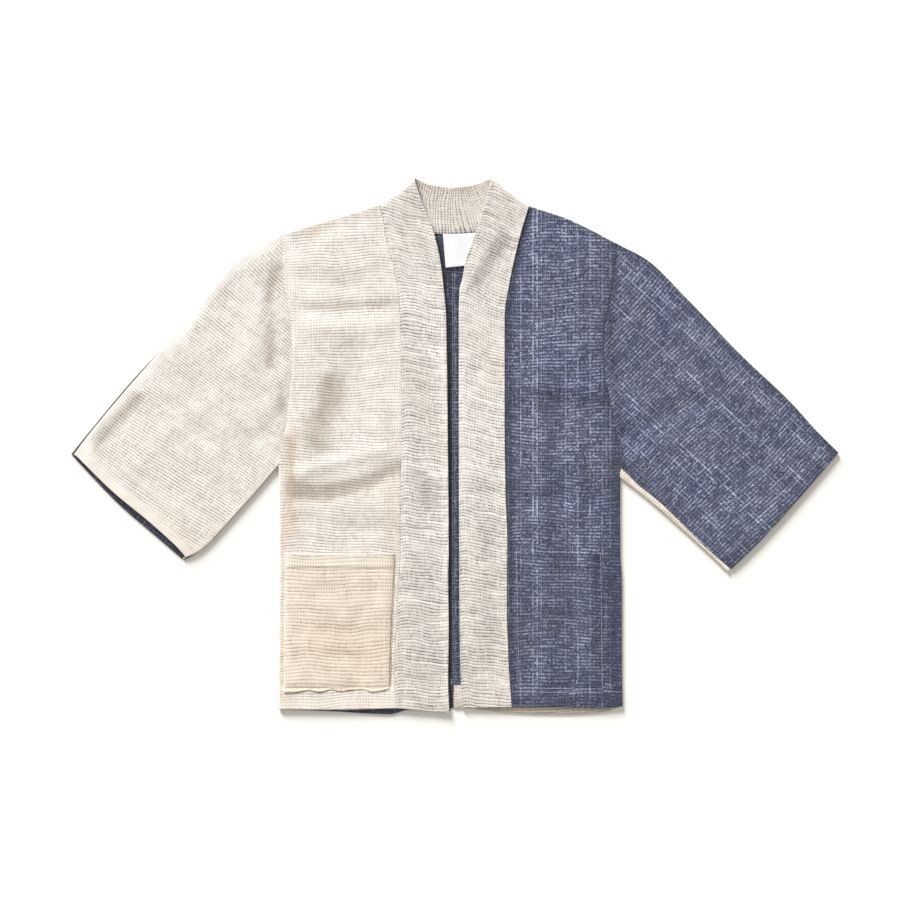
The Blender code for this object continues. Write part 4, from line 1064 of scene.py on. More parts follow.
def make_wrapped_back(looks, phase, along_rib, front_low):
    """Left sleeve's back half, rolled round the underarm to the front."""
    weave = Weave(phase, CREAM_PITCH, 0.00030, 0.006)
    edges = sleeve_edges(LEFT_OUTER, LEFT_WRAP_LEVEL, LEFT_CUFF_BACK, LEFT_UNDERARM_BACK, LEFT_SLEEVE_TOP)

    def floor_start(other):
        return np.full((1, len(other)), WRAP_ROLL), np.zeros((1, len(other)))
    ends = Edges(floor_start, under_end, sleeve_head_end, short_end)
    flat, away = lay(edges, ends, 26, floor_face, weave, 0.5)
    strip = wrapped_strip(edges.near, front_low, nearest_shares(flat[:, 0, :2], edges.near))
    points = np.concatenate((strip, flat), 1)
    rolled = np.broadcast_to(0.0 * strip[..., 0], strip.shape[:2])
    away = Edges(*[np.concatenate((rolled + value, part), 1)
                   for value, part in zip((0.02, 0.2, 0.002, 0.02), away)])
    even = 0 * points[..., 0]
    piece = grid_mesh("sleeve_left_back_cloth", with_ribs(points, away, weave, False),
                      weave_places(points, weave, along_rib), tone_map(WRAP_SHADE + even, WRAP_WARMTH + even),
                      (looks["cream"], looks["indigo_in_painted_shade"]), False)
    return add_wall(piece)


def make_right_sleeve(looks):
    """Right sleeve's halves, cream in front and indigo behind."""
    phase = sleeve_phase(-1, RIGHT_RIB_SLOPE, RIGHT_RIB_BEND)
    rib = rib_step(-1, RIGHT_RIB_SLOPE)
    ends = Edges(rolled_end, rolled_end, sleeve_head_end,
                 hem_end(CUFF_WIDTH, CUFF_DEPTH, CUFF_CLEAR, CUFF_CLEAR))
    edges = sleeve_edges(RIGHT_OUTER, RIGHT_UNDERARM_LEVEL, RIGHT_CUFF, RIGHT_UNDERARM, RIGHT_SLEEVE_TOP)
    front = panel("sleeve_right_front_cloth", edges, ends, 38, sleeve_face(SLEEVE_RIGHT_CREASES),
                  Weave(phase, CREAM_PITCH, 0.00036, 0.012), (looks["cream"], looks["indigo_in_painted_shade"]), True,
                  rib, sleeve_cream_tone(SLEEVE_RIGHT_PAINTED_SHADES))
    edges = sleeve_edges(RIGHT_OUTER, RIGHT_UNDERARM_LEVEL, RIGHT_CUFF_BACK, RIGHT_UNDERARM_BACK,
                         RIGHT_SLEEVE_TOP_BACK)
    back = panel("sleeve_right_back_cloth", edges, ends, 30, floor_face,
                 Weave(phase, INDIGO_PITCH, 0.00025, 0.003), (looks["indigo_in_painted_shade"], looks["cream_inside"]),
                 False, rib, dark_tone, quarter=0.5)
    return front, back


def make_left_sleeve(looks):
    """Left sleeve's halves, indigo in front and cream behind."""
    phase = sleeve_phase(1, LEFT_RIB_SLOPE, LEFT_RIB_BEND)
    rib = rib_step(1, LEFT_RIB_SLOPE)
    ends = Edges(over_end, rolled_end, sleeve_head_end,
                 hem_end(CUFF_WIDTH, CUFF_DEPTH, STRIP_CLEAR, CUFF_CLEAR))
    edges = sleeve_edges(LEFT_OUTER, LEFT_UNDERARM_LEVEL, LEFT_CUFF, LEFT_UNDERARM, LEFT_SLEEVE_TOP)
    front = panel("sleeve_left_front_cloth", edges, ends, 38, sleeve_face(SLEEVE_LEFT_CREASES),
                  Weave(phase, INDIGO_PITCH, 0.00018, 0.003), (looks["indigo"], looks["cream_inside"]), True,
                  rib, sleeve_indigo_tone(SLEEVE_LEFT_PAINTED_SHADES))
    return front, make_wrapped_back(looks, phase, rib, edges.near)


def make_sleeves(looks):
    """The four sleeve halves."""
    right_front, right_back = make_right_sleeve(looks)
    left_front, left_back = make_left_sleeve(looks)
    dress(right_front, "sleeve_right_front")
    dress(right_back, "sleeve_right_back")
    dress(left_front, "sleeve_left_front")
    dress(left_back, "sleeve_left_back")


# Collar band

HALVINGS = 30
FOLD_REACH = 0.03
LAPEL_STEPS = 700
NECK_STEPS = 200
FOLD_STEPS = 26
STATION_COUNT = 3600


def where_inset(curve, start, end, fold_point, outside, inset):
    """Place on a curve, between start and end, that lies the inset inside the fold line."""
    for _ in range(HALVINGS):
        middle = (start + end) / 2
        if (fold_point - curve(np.array([middle]))[0]).dot(outside) > inset:
            start = middle
        else:
            end = middle
    return (start + end) / 2


def fold_line(sewn_point, free_point, side):
    """Fold at the shoulder, where the band turns from the front to the back neck."""
    sewn = np.array((sewn_point[0] - side * GAP / 2, sewn_point[1]))
    free = np.array(free_point)
    run = (free - sewn) / np.linalg.norm(free - sewn)
    outside = np.array((-run[1], run[0]))
    return Fold(sewn, free, -outside if outside[1] < 0 else outside)


def lapel_curves(seam, band_edge, fold, side, free_rest):
    """Sewn and free lines of a lapel, from the hem up to the start of the fold."""
    def sewn(along):
        return place(across_at(seam, along) - side * GAP / 2, along)

    def free(along):
        return place(across_at(band_edge, along), along)
    sewn_top = where_inset(sewn, seam[-1][1] - FOLD_REACH, seam[-1][1], fold.sewn, fold.outside,
                           BAND_SEWN_FOLD)
    free_top = where_inset(free, band_edge[-1][1] - FOLD_REACH, band_edge[-1][1], fold.free, fold.outside,
                           BAND_FREE_FOLD)
    levels = np.linspace(seam[0][1], sewn_top, LAPEL_STEPS)
    fan = ease((levels - FAN_START) / (sewn_top - FAN_START))
    free_levels = mix(band_edge[0][1] + levels - levels[0], free_top, fan)
    rise = ease((levels - BAND_RISE_START) / (sewn_top - BAND_RISE_START))
    hem = ease((HEM_DEPTH + 2 * HEM_STEP - levels) / HEM_STEP)
    low = mix(mix(LAPEL_REST, LAPEL_HEM_REST, hem), 2 * BAND_SEWN_FOLD, rise)
    loose = (1 - rise) * ease(levels / 0.03)
    low = low + 0.0003 * loose * drift(levels / 0.05, 0 * levels, 21 + side)
    high = mix(free_rest, 2 * BAND_FREE_FOLD, rise)
    high = high + 0.0007 * loose * drift(levels / 0.06, 0 * levels, 31 + side)
    return (np.concatenate((sewn(levels), low[:, None]), 1),
            np.concatenate((free(free_levels), high[:, None]), 1))


def neck_curves(right_fold, left_fold):
    """Sewn and free lines of the band behind the neck, from the right fold to the left."""
    def sewn(across):
        return place(across, along_at(NECK_SEAM, across) + GAP / 2)

    def free(across):
        uneven = 0.0006 * drift(across / 0.012, 0 * across, 51)
        return place(across, along_at(NECK_BAND_EDGE, across) + uneven)
    lines = []
    for curve, table, inset, part in ((sewn, NECK_SEAM, BAND_SEWN_FOLD, 0),
                                      (free, NECK_BAND_EDGE, BAND_FREE_FOLD, 1)):
        first = table[0][0]
        last = table[-1][0]
        start = where_inset(curve, first + FOLD_REACH, first, right_fold[part], right_fold.outside, inset)
        stop = where_inset(curve, last - FOLD_REACH, last, left_fold[part], left_fold.outside, inset)
        on_floor = np.zeros((NECK_STEPS, 1))
        lines.append(np.concatenate((curve(np.linspace(start, stop, NECK_STEPS)), on_floor), 1))
    return lines


def fold_curves(fold, front, neck):
    """Sewn and free lines round the fold, from the front's last point to the neck's first."""
    run = (fold.free - fold.sewn) / np.linalg.norm(fold.free - fold.sewn)
    turns = np.linspace(0, math.pi, FOLD_STEPS)
    lines = []
    for part, radius in ((0, BAND_SEWN_FOLD), (1, BAND_FREE_FOLD)):
        start = (front[part][:2] - fold.sewn).dot(run)
        stop = (neck[part][:2] - fold.sewn).dot(run)
        slide = mix(start, stop, turns / math.pi)[:, None]
        spot = fold.sewn + run * slide - fold.outside * (radius * (1 - np.sin(turns)))[:, None]
        lines.append(np.concatenate((spot, (radius * (1 + np.cos(turns)))[:, None]), 1))
    return lines


def band_section():
    """Steps round the band's section: share across, depth below the outer face, and turn
    from the outer face's side (0) to the inner face's (180), from the sewn edge round."""
    half = BAND_CLOTH / 2
    section = [(0.0045, half, -90), (0.004, half * 0.45, -60), (0.009, half * 0.12, -20), (0.02, 0.0, 0)]
    flat = [(mix(0.045, 0.955, step / BAND_FLAT_STEPS), 0.0, 0) for step in range(BAND_FLAT_STEPS + 1)]
    rim = []
    for degrees in (0, 30, 60, 90, 120, 150, 180):
        angle = math.radians(degrees)
        rim.append((0.982 + 0.018 * math.sin(angle), half * (1 - math.cos(angle)), degrees))
    inner = [(share, BAND_CLOTH, 180) for share, _, _ in reversed(flat[::2])]
    close = [(0.02, BAND_CLOTH, 180), (0.009, BAND_CLOTH - half * 0.12, 200),
             (0.004, BAND_CLOTH - half * 0.45, 240)]
    return np.array(section + flat + rim + inner + close)


def tilt_at(table, along):
    """Slope of the ribs at a height."""
    return np.tan(np.radians(np.interp(along, *table_columns(table))))


def dip(share, width):
    """1 at share 0, easing to nought at the width."""
    return np.maximum(1 - share / width, 0) ** 2


def band_lean(wide, slope, right, left, neck):
    """How far a rib's free end lies past its sewn end, turning from side to side behind the neck."""
    lean = (wide[:, 1] + slope * wide[:, 0]) * np.where(right, 1.0, -1.0)
    from_right = lean[right][-1] * np.maximum(1 - 2 * neck, 0) ** 1.3
    from_left = lean[left][0] * np.maximum(2 * neck - 1, 0) ** 1.3
    return np.where(right | left, lean, from_right + from_left)[:, None]


def band_sway(places, share, neck):
    """Uneven run of the ribs, more of it behind the neck."""
    sway = 0.0022 * drift(places / 0.035, share * 3, 41) + 0.0009 * drift(places / 0.013, share * 5, 42)
    behind_neck = ((neck > 0) & (neck < 1))[:, None]
    return sway + behind_neck * 0.0032 * drift(places / 0.010, share * 1.5, 46)


def band_phase(sewn, free, stations, stops, shares):
    """Rib phase at places along the band and shares across it, slanted and arched as laid."""
    right_top, neck_start, neck_end, left_top = stops
    right = stations <= right_top
    left = stations >= left_top
    middle = (sewn + free) / 2
    slope = np.where(right, tilt_at(RIGHT_TILTS, middle[:, 1]), tilt_at(LEFT_TILTS, middle[:, 1]))
    step = np.gradient(middle, axis=0)
    lift = step[:, 1] + slope * step[:, 0]
    advance = np.where(right, lift, np.where(left, -lift, np.gradient(stations)))
    neck = np.clip((stations - neck_start) / (neck_end - neck_start), 0.0, 1.0)
    lean = band_lean(free - sewn, slope, right, left, neck)

    places = stations[:, None]
    share = np.clip(shares, 0.0, 1.0)[None, :]
    right_hold = ease((right_top - places) / 0.03)
    left_hold = ease((places - left_top) / 0.03)
    arch = right_hold * (0.0034 * dip(share, 0.14) - 0.0018 * np.maximum(share / 0.1 - 9, 0) ** 2)
    arch = arch - left_hold * 0.0036 * dip(1 - share, 0.16)
    arch = arch + left_hold * 0.0020 * dip(share, 0.14)
    phase = np.cumsum(advance)[:, None] + lean * (share - 0.5) + arch + band_sway(places, share, neck)
    return np.maximum.accumulate(phase, axis=0)


def band_lines():
    """Sewn and free lines of the whole band, and how many points each stretch has."""
    right_fold = fold_line(RIGHT_FRONT_SEAM[-1], RIGHT_BAND_EDGE[-1], -1)
    left_fold = fold_line(LEFT_FRONT_SEAM[-1], LEFT_BAND_EDGE[-1], 1)
    right = lapel_curves(RIGHT_FRONT_SEAM, RIGHT_BAND_EDGE, right_fold, -1, RIGHT_FREE_REST)
    left = lapel_curves(LEFT_FRONT_SEAM, LEFT_BAND_EDGE, left_fold, 1, LEFT_FREE_REST)
    neck = neck_curves(right_fold, left_fold)
    right_turn = fold_curves(right_fold, (right[0][-1], right[1][-1]), (neck[0][0], neck[1][0]))
    left_turn = fold_curves(left_fold, (left[0][-1], left[1][-1]), (neck[0][-1], neck[1][-1]))
    lines = []
    for part in (0, 1):
        stretches = (right[part][:-1], right_turn[part], neck[part][1:-1], left_turn[part][::-1],
                     left[part][:-1][::-1])
        lines.append(np.concatenate(stretches))
    return lines, np.cumsum([len(stretch) for stretch in stretches])[:4]


def read_rows(table, stations, places):
    """Values of a table of stations, columns, parts at the places, rows, columns."""
    def read_part(part):
        return np.stack([np.interp(*pair) for pair in
                         ((wanted, stations, known) for wanted, known in zip(places.T, part.T))], 1)
    return np.stack([read_part(table[..., part]) for part in range(table.shape[2])], -1)


def band_dips(counted, share, behind, outer):
    """How deep the band's surface is pressed in between its ribs and into soft wrinkles."""
    rib = np.floor(counted / BAND_PITCH + 0.5)
    depth = mix(LAPEL_RIB_DEPTH, NECK_RIB_DEPTH, behind) * (1 + 0.5 * drift(share * 6, rib, 43))
    depth = depth * (0.2 + 1.6 * scatter(rib, 0 * rib, 47))
    fold = counted / WRINKLE_LENGTH
    wrinkle = WRINKLE_DEPTH * ease(0.9 * drift(fold, share * 3.2 + 0.13 * np.floor(fold), 44))
    broad = BROAD_WRINKLE * drift(counted / 0.022, share * 2.0, 45)
    return depth * rib_profile(counted / BAND_PITCH) + outer * (wrinkle + broad)


def band_tones(spot, share, behind, after_fold):
    """Painted shade and highlight of the band and its warmth, on the lapels and behind the neck."""
    x = spot[..., 0]
    y = spot[..., 1]
    shade = stroke_sum(COLLAR_PAINTED_SHADES, x, y) + 0.12 * ease((0.45 - y) / 0.3)
    # Behind the neck: painted shade by the neck seam, lighter in the middle
    neck_shade = 0.10 + 0.8 * bell(share, 0.12) - 0.25 * bell(share - 0.5, 0.25)
    # Painted shadow of the right lapel's free edge on the back neck
    neck_shade = neck_shade + 1.2 * bell(x + 0.048, 0.007)
    # Painted shade along the left lapel's free edge
    shade = shade + 0.6 * ease((share - 0.95) / 0.03) * ease(after_fold / 0.05)
    warmth = mix(0.5 * ease((0.35 - y) / 0.3), 0.6 + 1.1 * ease((share - 0.80) / 0.12), behind)
    return tone_map(mix(shade, neck_shade, behind), warmth)


def band_frame(sewn, free, shares, stations, places):
    """Points at places on the band's middle surface, with the ways up from it and across it."""
    base = mix(sewn[:, None, :], free[:, None, :], shares[None, :, None])
    wide = np.broadcast_to((free - sewn)[:, None, :], base.shape)
    normal = unit(np.cross(wide, np.gradient(base, axis=0)))
    if normal[100, 10, 2] < 0:
        normal = -normal
    return (read_rows(base, stations, places), unit(read_rows(normal, stations, places)),
            unit(read_rows(wide, stations, places)))


def make_collar(looks):
    """One double band: right lapel, right fold, back neck, left fold, left lapel."""
    lines, counts = band_lines()
    lengths = lengths_along((lines[0] + lines[1]) / 2)
    stations = np.linspace(0.0, lengths[-1], STATION_COUNT)
    sewn, free = [read_columns(stations, lengths, line) for line in lines]
    shares, depths, degrees = band_section().T
    right_top, _, _, left_top = lengths[counts]
    phase = band_phase(sewn, free, stations, lengths[counts], shares)
    marks = whole_steps(phase, BAND_PITCH / 4)
    places = np.stack([np.interp(marks, column, stations) for column in phase.T], 1)
    counted = np.stack([np.interp(wanted, stations, known) for wanted, known in zip(places.T, phase.T)], 1)

    spot, up, across = band_frame(sewn, free, shares, stations, places)
    turns = np.radians(degrees)[None, :, None]
    side = up * np.cos(turns) + across * np.sin(turns)
    share = shares[None, :] + 0 * places
    behind = ease((places - right_top) / 0.01) * ease((left_top - places) / 0.01)
    outer = (degrees < 90)[None, :] * ease(share / 0.06) * ease((1 - share) / 0.03)
    dips = band_dips(counted, share, behind, outer)
    points = spot - up * depths[None, :, None] - side * dips[..., None]

    width = np.linalg.norm(free - sewn, axis=1)
    weave_spots = np.stack((share * np.interp(places, stations, width), counted), -1)
    piece = grid_mesh("collar_cloth", points, weave_spots, band_tones(spot, share, behind, places - left_top),
                      (looks["band"],), True, loop=True)
    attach(piece, "root")
    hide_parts("collar")
    return piece


# Pockets and label

def pocket_edges(front, shares, wave, seam_top):
    """Edges of a pocket, on its front panel's own shares."""
    def at(share, along):
        return span(front, mix(shares[0], shares[1], share), along / seam_top)

    def side(share_across):
        def point(share):
            across = np.full_like(share, share_across)
            return at(across, mix(along_at(wave, across), POCKET_TOP_LEVEL, share))
        return point

    def low(share):
        return at(share, along_at(wave, share))

    def high(share):
        return at(share, np.full_like(share, POCKET_TOP_LEVEL))
    return Edges(side(0.0), side(1.0), low, high)


def pocket_rim(other):
    """Sewn edge of a pocket, pressed down."""
    return spread_steps(POCKET_SEWN_END, other)


def curled_rim(other):
    """Lower edge of a pocket, rolled up a little."""
    return spread_steps(POCKET_CURLED_END, other)


def pocket_face(creases, lift, hem_step):
    """Height of a pocket, over its front panel."""
    under = front_face(creases)

    def face(x, y, away, rise):
        near_rim = np.minimum(np.minimum(away.near, away.far), away.low)
        raised = mix(0.0010, lift, ease(near_rim / 0.008))
        raised = raised + hem_step * ease((y - POCKET_HEM_LEVEL) / 0.003) * ease(near_rim / 0.004)
        raised = raised + 0.0003 * ease(near_rim / 0.01) * drift(x / 0.02, y / 0.02, 19)
        far = Edges(away.near + 0.014, away.far + 0.014, y, 1.0 + 0 * y)
        return under(x, y, far, 0.0) + raised - rise
    return face


def pocket_warmth(x, y, away):
    """Yellower all over, more at the rims."""
    return 0.1 + 0.5 * fade(away.near, 0.01) + 0.4 * fade(away.low, 0.012)


def make_pockets(looks):
    """Patch pockets with turned hems."""
    sewn = Edges(pocket_rim, pocket_rim, pocket_rim, pocket_rim)
    right = panel("pocket_right_cloth",
                  pocket_edges(RIGHT_FRONT, POCKET_RIGHT_SHARES, POCKET_RIGHT_WAVE, RIGHT_SEAM_TOP),
                  sewn._replace(low=curled_rim), 36, pocket_face(FRONT_RIGHT_CREASES, 0.0017, 0.0008),
                  Weave(pocket_phase, POCKET_PITCH, 0.00018, 0.006), (looks["pocket"],), True,
                  tone=stroked_tone(POCKET_RIGHT_PAINTED_SHADES, pocket_warmth))
    left = panel("pocket_left_cloth",
                 pocket_edges(LEFT_FRONT, POCKET_LEFT_SHARES, POCKET_LEFT_WAVE, LEFT_SEAM_TOP),
                 sewn, 30, pocket_face(FRONT_LEFT_CREASES, 0.0014, 0.0005),
                 Weave(front_phase, INDIGO_PITCH, 0.00010, 0.003), (looks["indigo"],), True,
                 tone=stroked_tone(POCKET_LEFT_PAINTED_SHADES, indigo_warmth))
    for piece, node, slot, flat, front in (
            (right, "pocket_right", "pocket_cloth", (0.167, 0.235), "front_right_cloth"),
            (left, "pocket_left", "indigo_cloth", (0.134, 0.235), "front_left_cloth")):
        piece.modifiers["Wall"].thickness = POCKET_WALL
        dress(piece, node)
    return right, left


# Lower and upper edge of the label, from its right end to its left
LABEL_LOW = np.array(((-0.0056, 0.6630), (0.0535, 0.6690)))
LABEL_HIGH = np.array(((-0.0098, 0.7140), (0.0495, 0.7170)))
LABEL_ROWS = 40
LABEL_COLUMNS = 48
LAPPED_TOP = 0.0029


def make_label(looks):
    """Bare woven label hung from the back neck seam."""
    rows = np.linspace(0, 1, LABEL_ROWS)[:, None]
    columns = np.linspace(0, 1, LABEL_COLUMNS)[None, :]
    low = mix(LABEL_LOW[0], LABEL_LOW[1], columns[..., None])
    high = mix(LABEL_HIGH[0], LABEL_HIGH[1], columns[..., None])
    high[..., 1] = along_at(NECK_SEAM, high[..., 0]) - GAP
    spot = mix(low, high, rows[..., None])
    x = spot[..., 0]
    height = LAPPED_TOP + 2 * GAP + 0.0006 + 0.0006 * ease((0.25 - rows) / 0.25) * (0.4 + 0.6 * columns)
    height = height + 0.00012 * np.sin(x * 190) - 0.0006 * ease((x - 0.004) / 0.03)
    points = np.stack((x, spot[..., 1], height), -1)
    piece = grid_mesh("label_cloth", points, spot, 0 * spot + 0.5, (looks["label"],), True)
    dress(add_wall(piece, LABEL_WALL), "label")


# Sewing threads

THREAD_SIDES = 6
THREAD_FLATNESS = 0.8
NO_CLOTH = -1.0
ABOVE_ALL = 0.05
STITCH_SHARES = (0.0, 0.18, 0.5, 0.82, 1.0)
STITCH_RISES = (-0.0005, -0.0001, 0.0, -0.0001, -0.0005)
FRAY_SPACING = 0.0009
WAVE_STEPS = 40

# Radii of the threads and their height over the cloth
HEM_THREAD = 0.00040
POCKET_THREAD = 0.00032
SEAM_THREAD = 0.00026
FRAYED_THREAD = 0.00030
LOOSE_THREAD = 0.00025
HEM_LIFT = 0.00012
POCKET_LIFT = 0.00014
SEAM_LIFT = 0.00015
FRAYED_LIFT = 0.00005
LOOSE_LIFT = 0.0016

# Paths in plan, and pocket rims as share and level
HEM_PATH = ((0.0935, 0.0278), (0.1700, 0.0270), (0.2560, 0.0280))
LOOSE_PATH = ((0.0012, 0.0470), (0.0030, 0.0440), (0.0022, 0.0400), (0.0040, 0.0375))
SEAM_LEVELS = (0.030, 0.655)
SEAM_LEAN = 0.0006
SEAM_ROWS = ((0.0041, 73), (0.0066, 74))
RIM_INSET = 0.012
RIM_LEVELS = (0.2335, 0.0285, 0.0285, 0.2335)
STRAY_DROP = 0.0006

# Stray threads beside the cream pocket: share past the rim, lower and upper level, swing and seed
STRAYS = (
    (-0.006, 0.036, 0.225, 0.0007, 81), (0.001, 0.028, 0.150, 0.0010, 84), (-0.010, 0.030, 0.100, 0.0012, 87))


def top_heights(pieces, across, along):
    """Height of the upper surface of some pieces' faces at places in plan."""
    heights = np.full(len(across), NO_CLOTH)
    for piece in pieces:
        mesh = piece.data
        tree = BVHTree.FromPolygons([vertex.co for vertex in mesh.vertices],
                                    [tuple(face.vertices) for face in mesh.polygons])
        for index, (x, y) in enumerate(zip(across, along)):
            above = Vector((x + CENTRE_SEAM_X, y + HEM_LINE_Y, ABOVE_ALL))
            hit = tree.ray_cast(above, Vector((0, 0, -1)))[0]
            if hit:
                heights[index] = max(heights[index], hit.z)
    return heights


def thread_piece(name, runs, radius, material):
    """Thin tubes of thread, one for each run of points."""
    vertices = []
    faces = []
    angles = np.arange(THREAD_SIDES) * 2 * math.pi / THREAD_SIDES
    for run in runs:
        forward = unit(np.gradient(run, axis=0))
        side = unit(np.cross(forward, (0.0, 0.0, 1.0)))
        top = np.cross(side, forward)
        first = len(vertices)
        sideways = np.cos(angles)[None, :, None] * side[:, None, :]
        upwards = THREAD_FLATNESS * np.sin(angles)[None, :, None] * top[:, None, :]
        rings = run[:, None, :] + radius * (sideways + upwards)
        vertices.extend((rings + FRAME_SHIFT).reshape(-1, 3).tolist())
        for ring in range(len(run) - 1):
            start = first + ring * THREAD_SIDES
            for corner in range(THREAD_SIDES):
                after = (corner + 1) % THREAD_SIDES
                faces.append((start + corner, start + after, start + after + THREAD_SIDES,
                              start + corner + THREAD_SIDES))
        last = first + (len(run) - 1) * THREAD_SIDES
        faces.append(tuple(range(first + THREAD_SIDES - 1, first - 1, -1)))
        faces.append(tuple(range(last, last + THREAD_SIDES)))
    mesh = bpy.data.meshes.new(name)
    mesh.from_pydata(vertices, [], faces)
    mesh.materials.append(material)
    build = bmesh.new()
    build.from_mesh(mesh)
    bmesh.ops.recalc_face_normals(build, faces=build.faces)
    build.to_mesh(mesh)
    build.free()
    mesh.shade_smooth()
    piece = add_object(name, mesh)
    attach(piece, "root")
    return piece


def walk(path, spacing):
    """Points at even steps along a path in plan."""
    path = np.array(path, float)
    lengths = lengths_along(path)
    return read_columns(np.arange(0.0, lengths[-1], spacing), lengths, path)


def stitch_runs(pieces, path, lift, seed):
    """Short stitches along a path, their ends sunk in the cloth."""
    starts = walk(path, STITCH_PITCH)
    ahead = unit(np.gradient(starts, axis=0))
    number = np.arange(len(starts))
    length = STITCH_LENGTH * (0.8 + 0.4 * scatter(number, 0 * number, seed))
    aside = 0.0002 * (scatter(number, 1 + 0 * number, seed) - 0.5)
    starts = starts + np.stack((-ahead[:, 1], ahead[:, 0]), 1) * aside[:, None]
    middles = starts + ahead * length[:, None] / 2
    heights = top_heights(pieces, middles[:, 0], middles[:, 1])
    runs = []
    for start, toward, size, height in zip(starts, ahead, length, heights):
        if height > NO_CLOTH:
            rise = height + lift + np.array(STITCH_RISES)
            spots = start + toward * size * np.array(STITCH_SHARES)[:, None]
            runs.append(np.concatenate((spots, rise[:, None]), 1))
    return runs


def frayed_run(pieces, path, swing, lift, seed):
    """One loose thread that wanders along a path on the cloth."""
    spots = walk(path, FRAY_SPACING)
    count = np.arange(len(spots)) * 0.9
    spots[:, 0] += swing * drift(count / 3.1, 0 * count, seed)
    spots[:, 1] += swing * drift(count / 2.3, 0 * count, seed + 1)
    heights = top_heights(pieces, spots[:, 0], spots[:, 1])
    rise = heights + lift + 0.0002 * drift(count / 4, 0 * count, seed + 2)
    return np.concatenate((spots, rise[:, None]), 1)


def pocket_path(front, shares, levels, seam_top):
    """Path on a front panel by shares across and levels."""
    at = np.array(shares, float)
    return span(front, at, np.array(levels, float) / seam_top)


def indigo_stitches(looks, indigo_parts, back_left):
    """Stitches along the indigo hem, round the indigo pocket and down the centre back."""
    pale = looks["pale_thread"]
    thread_piece("hem_stitches", stitch_runs(indigo_parts, HEM_PATH, HEM_LIFT, 71), HEM_THREAD, pale)
    near = POCKET_LEFT_SHARES[0] + RIM_INSET
    far = POCKET_LEFT_SHARES[1] - RIM_INSET
    rim = pocket_path(LEFT_FRONT, (near, near, far, far), RIM_LEVELS, LEFT_SEAM_TOP)
    thread_piece("pocket_stitches", stitch_runs(indigo_parts, rim, POCKET_LIFT, 72), POCKET_THREAD, pale)
    seam = []
    for across, seed in SEAM_ROWS:
        path = ((across, SEAM_LEVELS[0]), (across + SEAM_LEAN, SEAM_LEVELS[1]))
        seam += stitch_runs((back_left,), path, WALL + SEAM_LIFT, seed)
    thread_piece("centre_stitches", seam, SEAM_THREAD, pale)


def stray_threads(looks, cream_parts, back_left):
    """Frayed threads at the cream pocket, and the loose end at the centre-back hem."""
    rim = POCKET_RIGHT_SHARES[0]
    strays = []
    for offset, low, high, swing, seed in STRAYS:
        path = pocket_path(RIGHT_FRONT, (rim + offset, rim + offset), (low, high), RIGHT_SEAM_TOP)
        strays.append(frayed_run(cream_parts, path, swing, FRAYED_LIFT, seed))
    ways = np.linspace(0.0, 1.0, WAVE_STEPS)
    levels = along_at(POCKET_RIGHT_WAVE, ways) - STRAY_DROP
    path = pocket_path(RIGHT_FRONT, mix(*POCKET_RIGHT_SHARES, ways), levels, RIGHT_SEAM_TOP)
    strays.append(frayed_run(cream_parts, path, 0.0004, FRAYED_LIFT, 90))
    thread_piece("pocket_threads", strays, FRAYED_THREAD, looks["brown_thread"])
    loose = frayed_run((back_left,), LOOSE_PATH, 0.0004, WALL + LOOSE_LIFT, 93)
    thread_piece("loose_thread", [loose], LOOSE_THREAD, looks["pale_thread"])


# Materials

CLOTH_ROUGHNESS = 0.92
CLOTH_SHEEN = 0.15
SHEEN_ROUGHNESS = 0.5
CLOTH_SPECULAR = 0.25

# Noise over the weave map, with its cells a metre
Cells = namedtuple("Cells", "across down seed detail")
RIB_PATCHES = Cells(22.0, 26.0, 3.0, 3.0)
WARP_PATCHES = Cells(40.0, 34.0, 6.0, 2.0)
WARM_PATCHES = Cells(9.0, 7.0, 7.0, 3.0)
HEATHER = Cells(520.0, 700.0, 8.0, 2.0)
RIB_TWIST = Cells(1300.0, 900.0, 9.0, 2.0)
SLUB_PATCHES = Cells(36.0, 11.0, 1.0, 3.0)
GRIT = Cells(640.0, 640.0, 8.0, 1.0)
DYE_PATCHES = Cells(15.0, 11.0, 10.0, 2.0)
SLUB_TWIST = Cells(1100.0, 1100.0, 11.0, 2.0)
LABEL_PATCHES = Cells(60.0, 60.0, 1.0, 2.0)

# Dashes along threads: cells a metre, step from row to row, seed, and how the noise is read
Dashes = namedtuple("Dashes", "cells row_step seed start stop low high")
RIB_DASHES = Dashes(300.0, 7.31, 1.0, 0.40, 0.60, 0.04, 1.15)
LONG_RIB_DASHES = Dashes(80.0, 7.31, 2.0, 0.38, 0.62, 0.22, 1.1)
WEFT_RUNS = Dashes(48.0, 5.37, 2.0, 0.36, 0.64, 0.18, 1.15)
WEFT_DASHES = Dashes(280.0, 3.7, 3.0, 0.38, 0.56, 0.12, 1.0)
HALF_DASHES = Dashes(330.0, 3.1, 12.0, 0.50, 0.64, 0.0, 1.0)
WARP_RUNS = Dashes(28.0, 4.91, 4.0, 0.38, 0.64, 0.15, 1.0)
WARP_DASHES = Dashes(300.0, 3.3, 5.0, 0.38, 0.56, 0.15, 1.0)
FINE_DASHES = Dashes(330.0, 3.3, 13.0, 0.50, 0.64, 0.0, 1.0)

# Relief of each look in metres, and the threads' own spacing
RIB_RELIEF = 0.00010
INDIGO_RELIEF = 0.00012
LABEL_RELIEF = 0.00008
THREAD_RELIEF = 0.0001
INDIGO_WARP = 0.0061
INDIGO_FINE_WARP = 0.0031
STRIPE_WIDTH = 0.0242
LABEL_PITCH = 0.0009
THREAD_CELLS = 1500.0
FINE_SLUBS = 0.40
FLECK_SHARE = 0.015
# Brightness of the darker indigo copy that paints shade on faces lying in shade
PAINTED_SHADE_BRIGHTNESS = 0.55

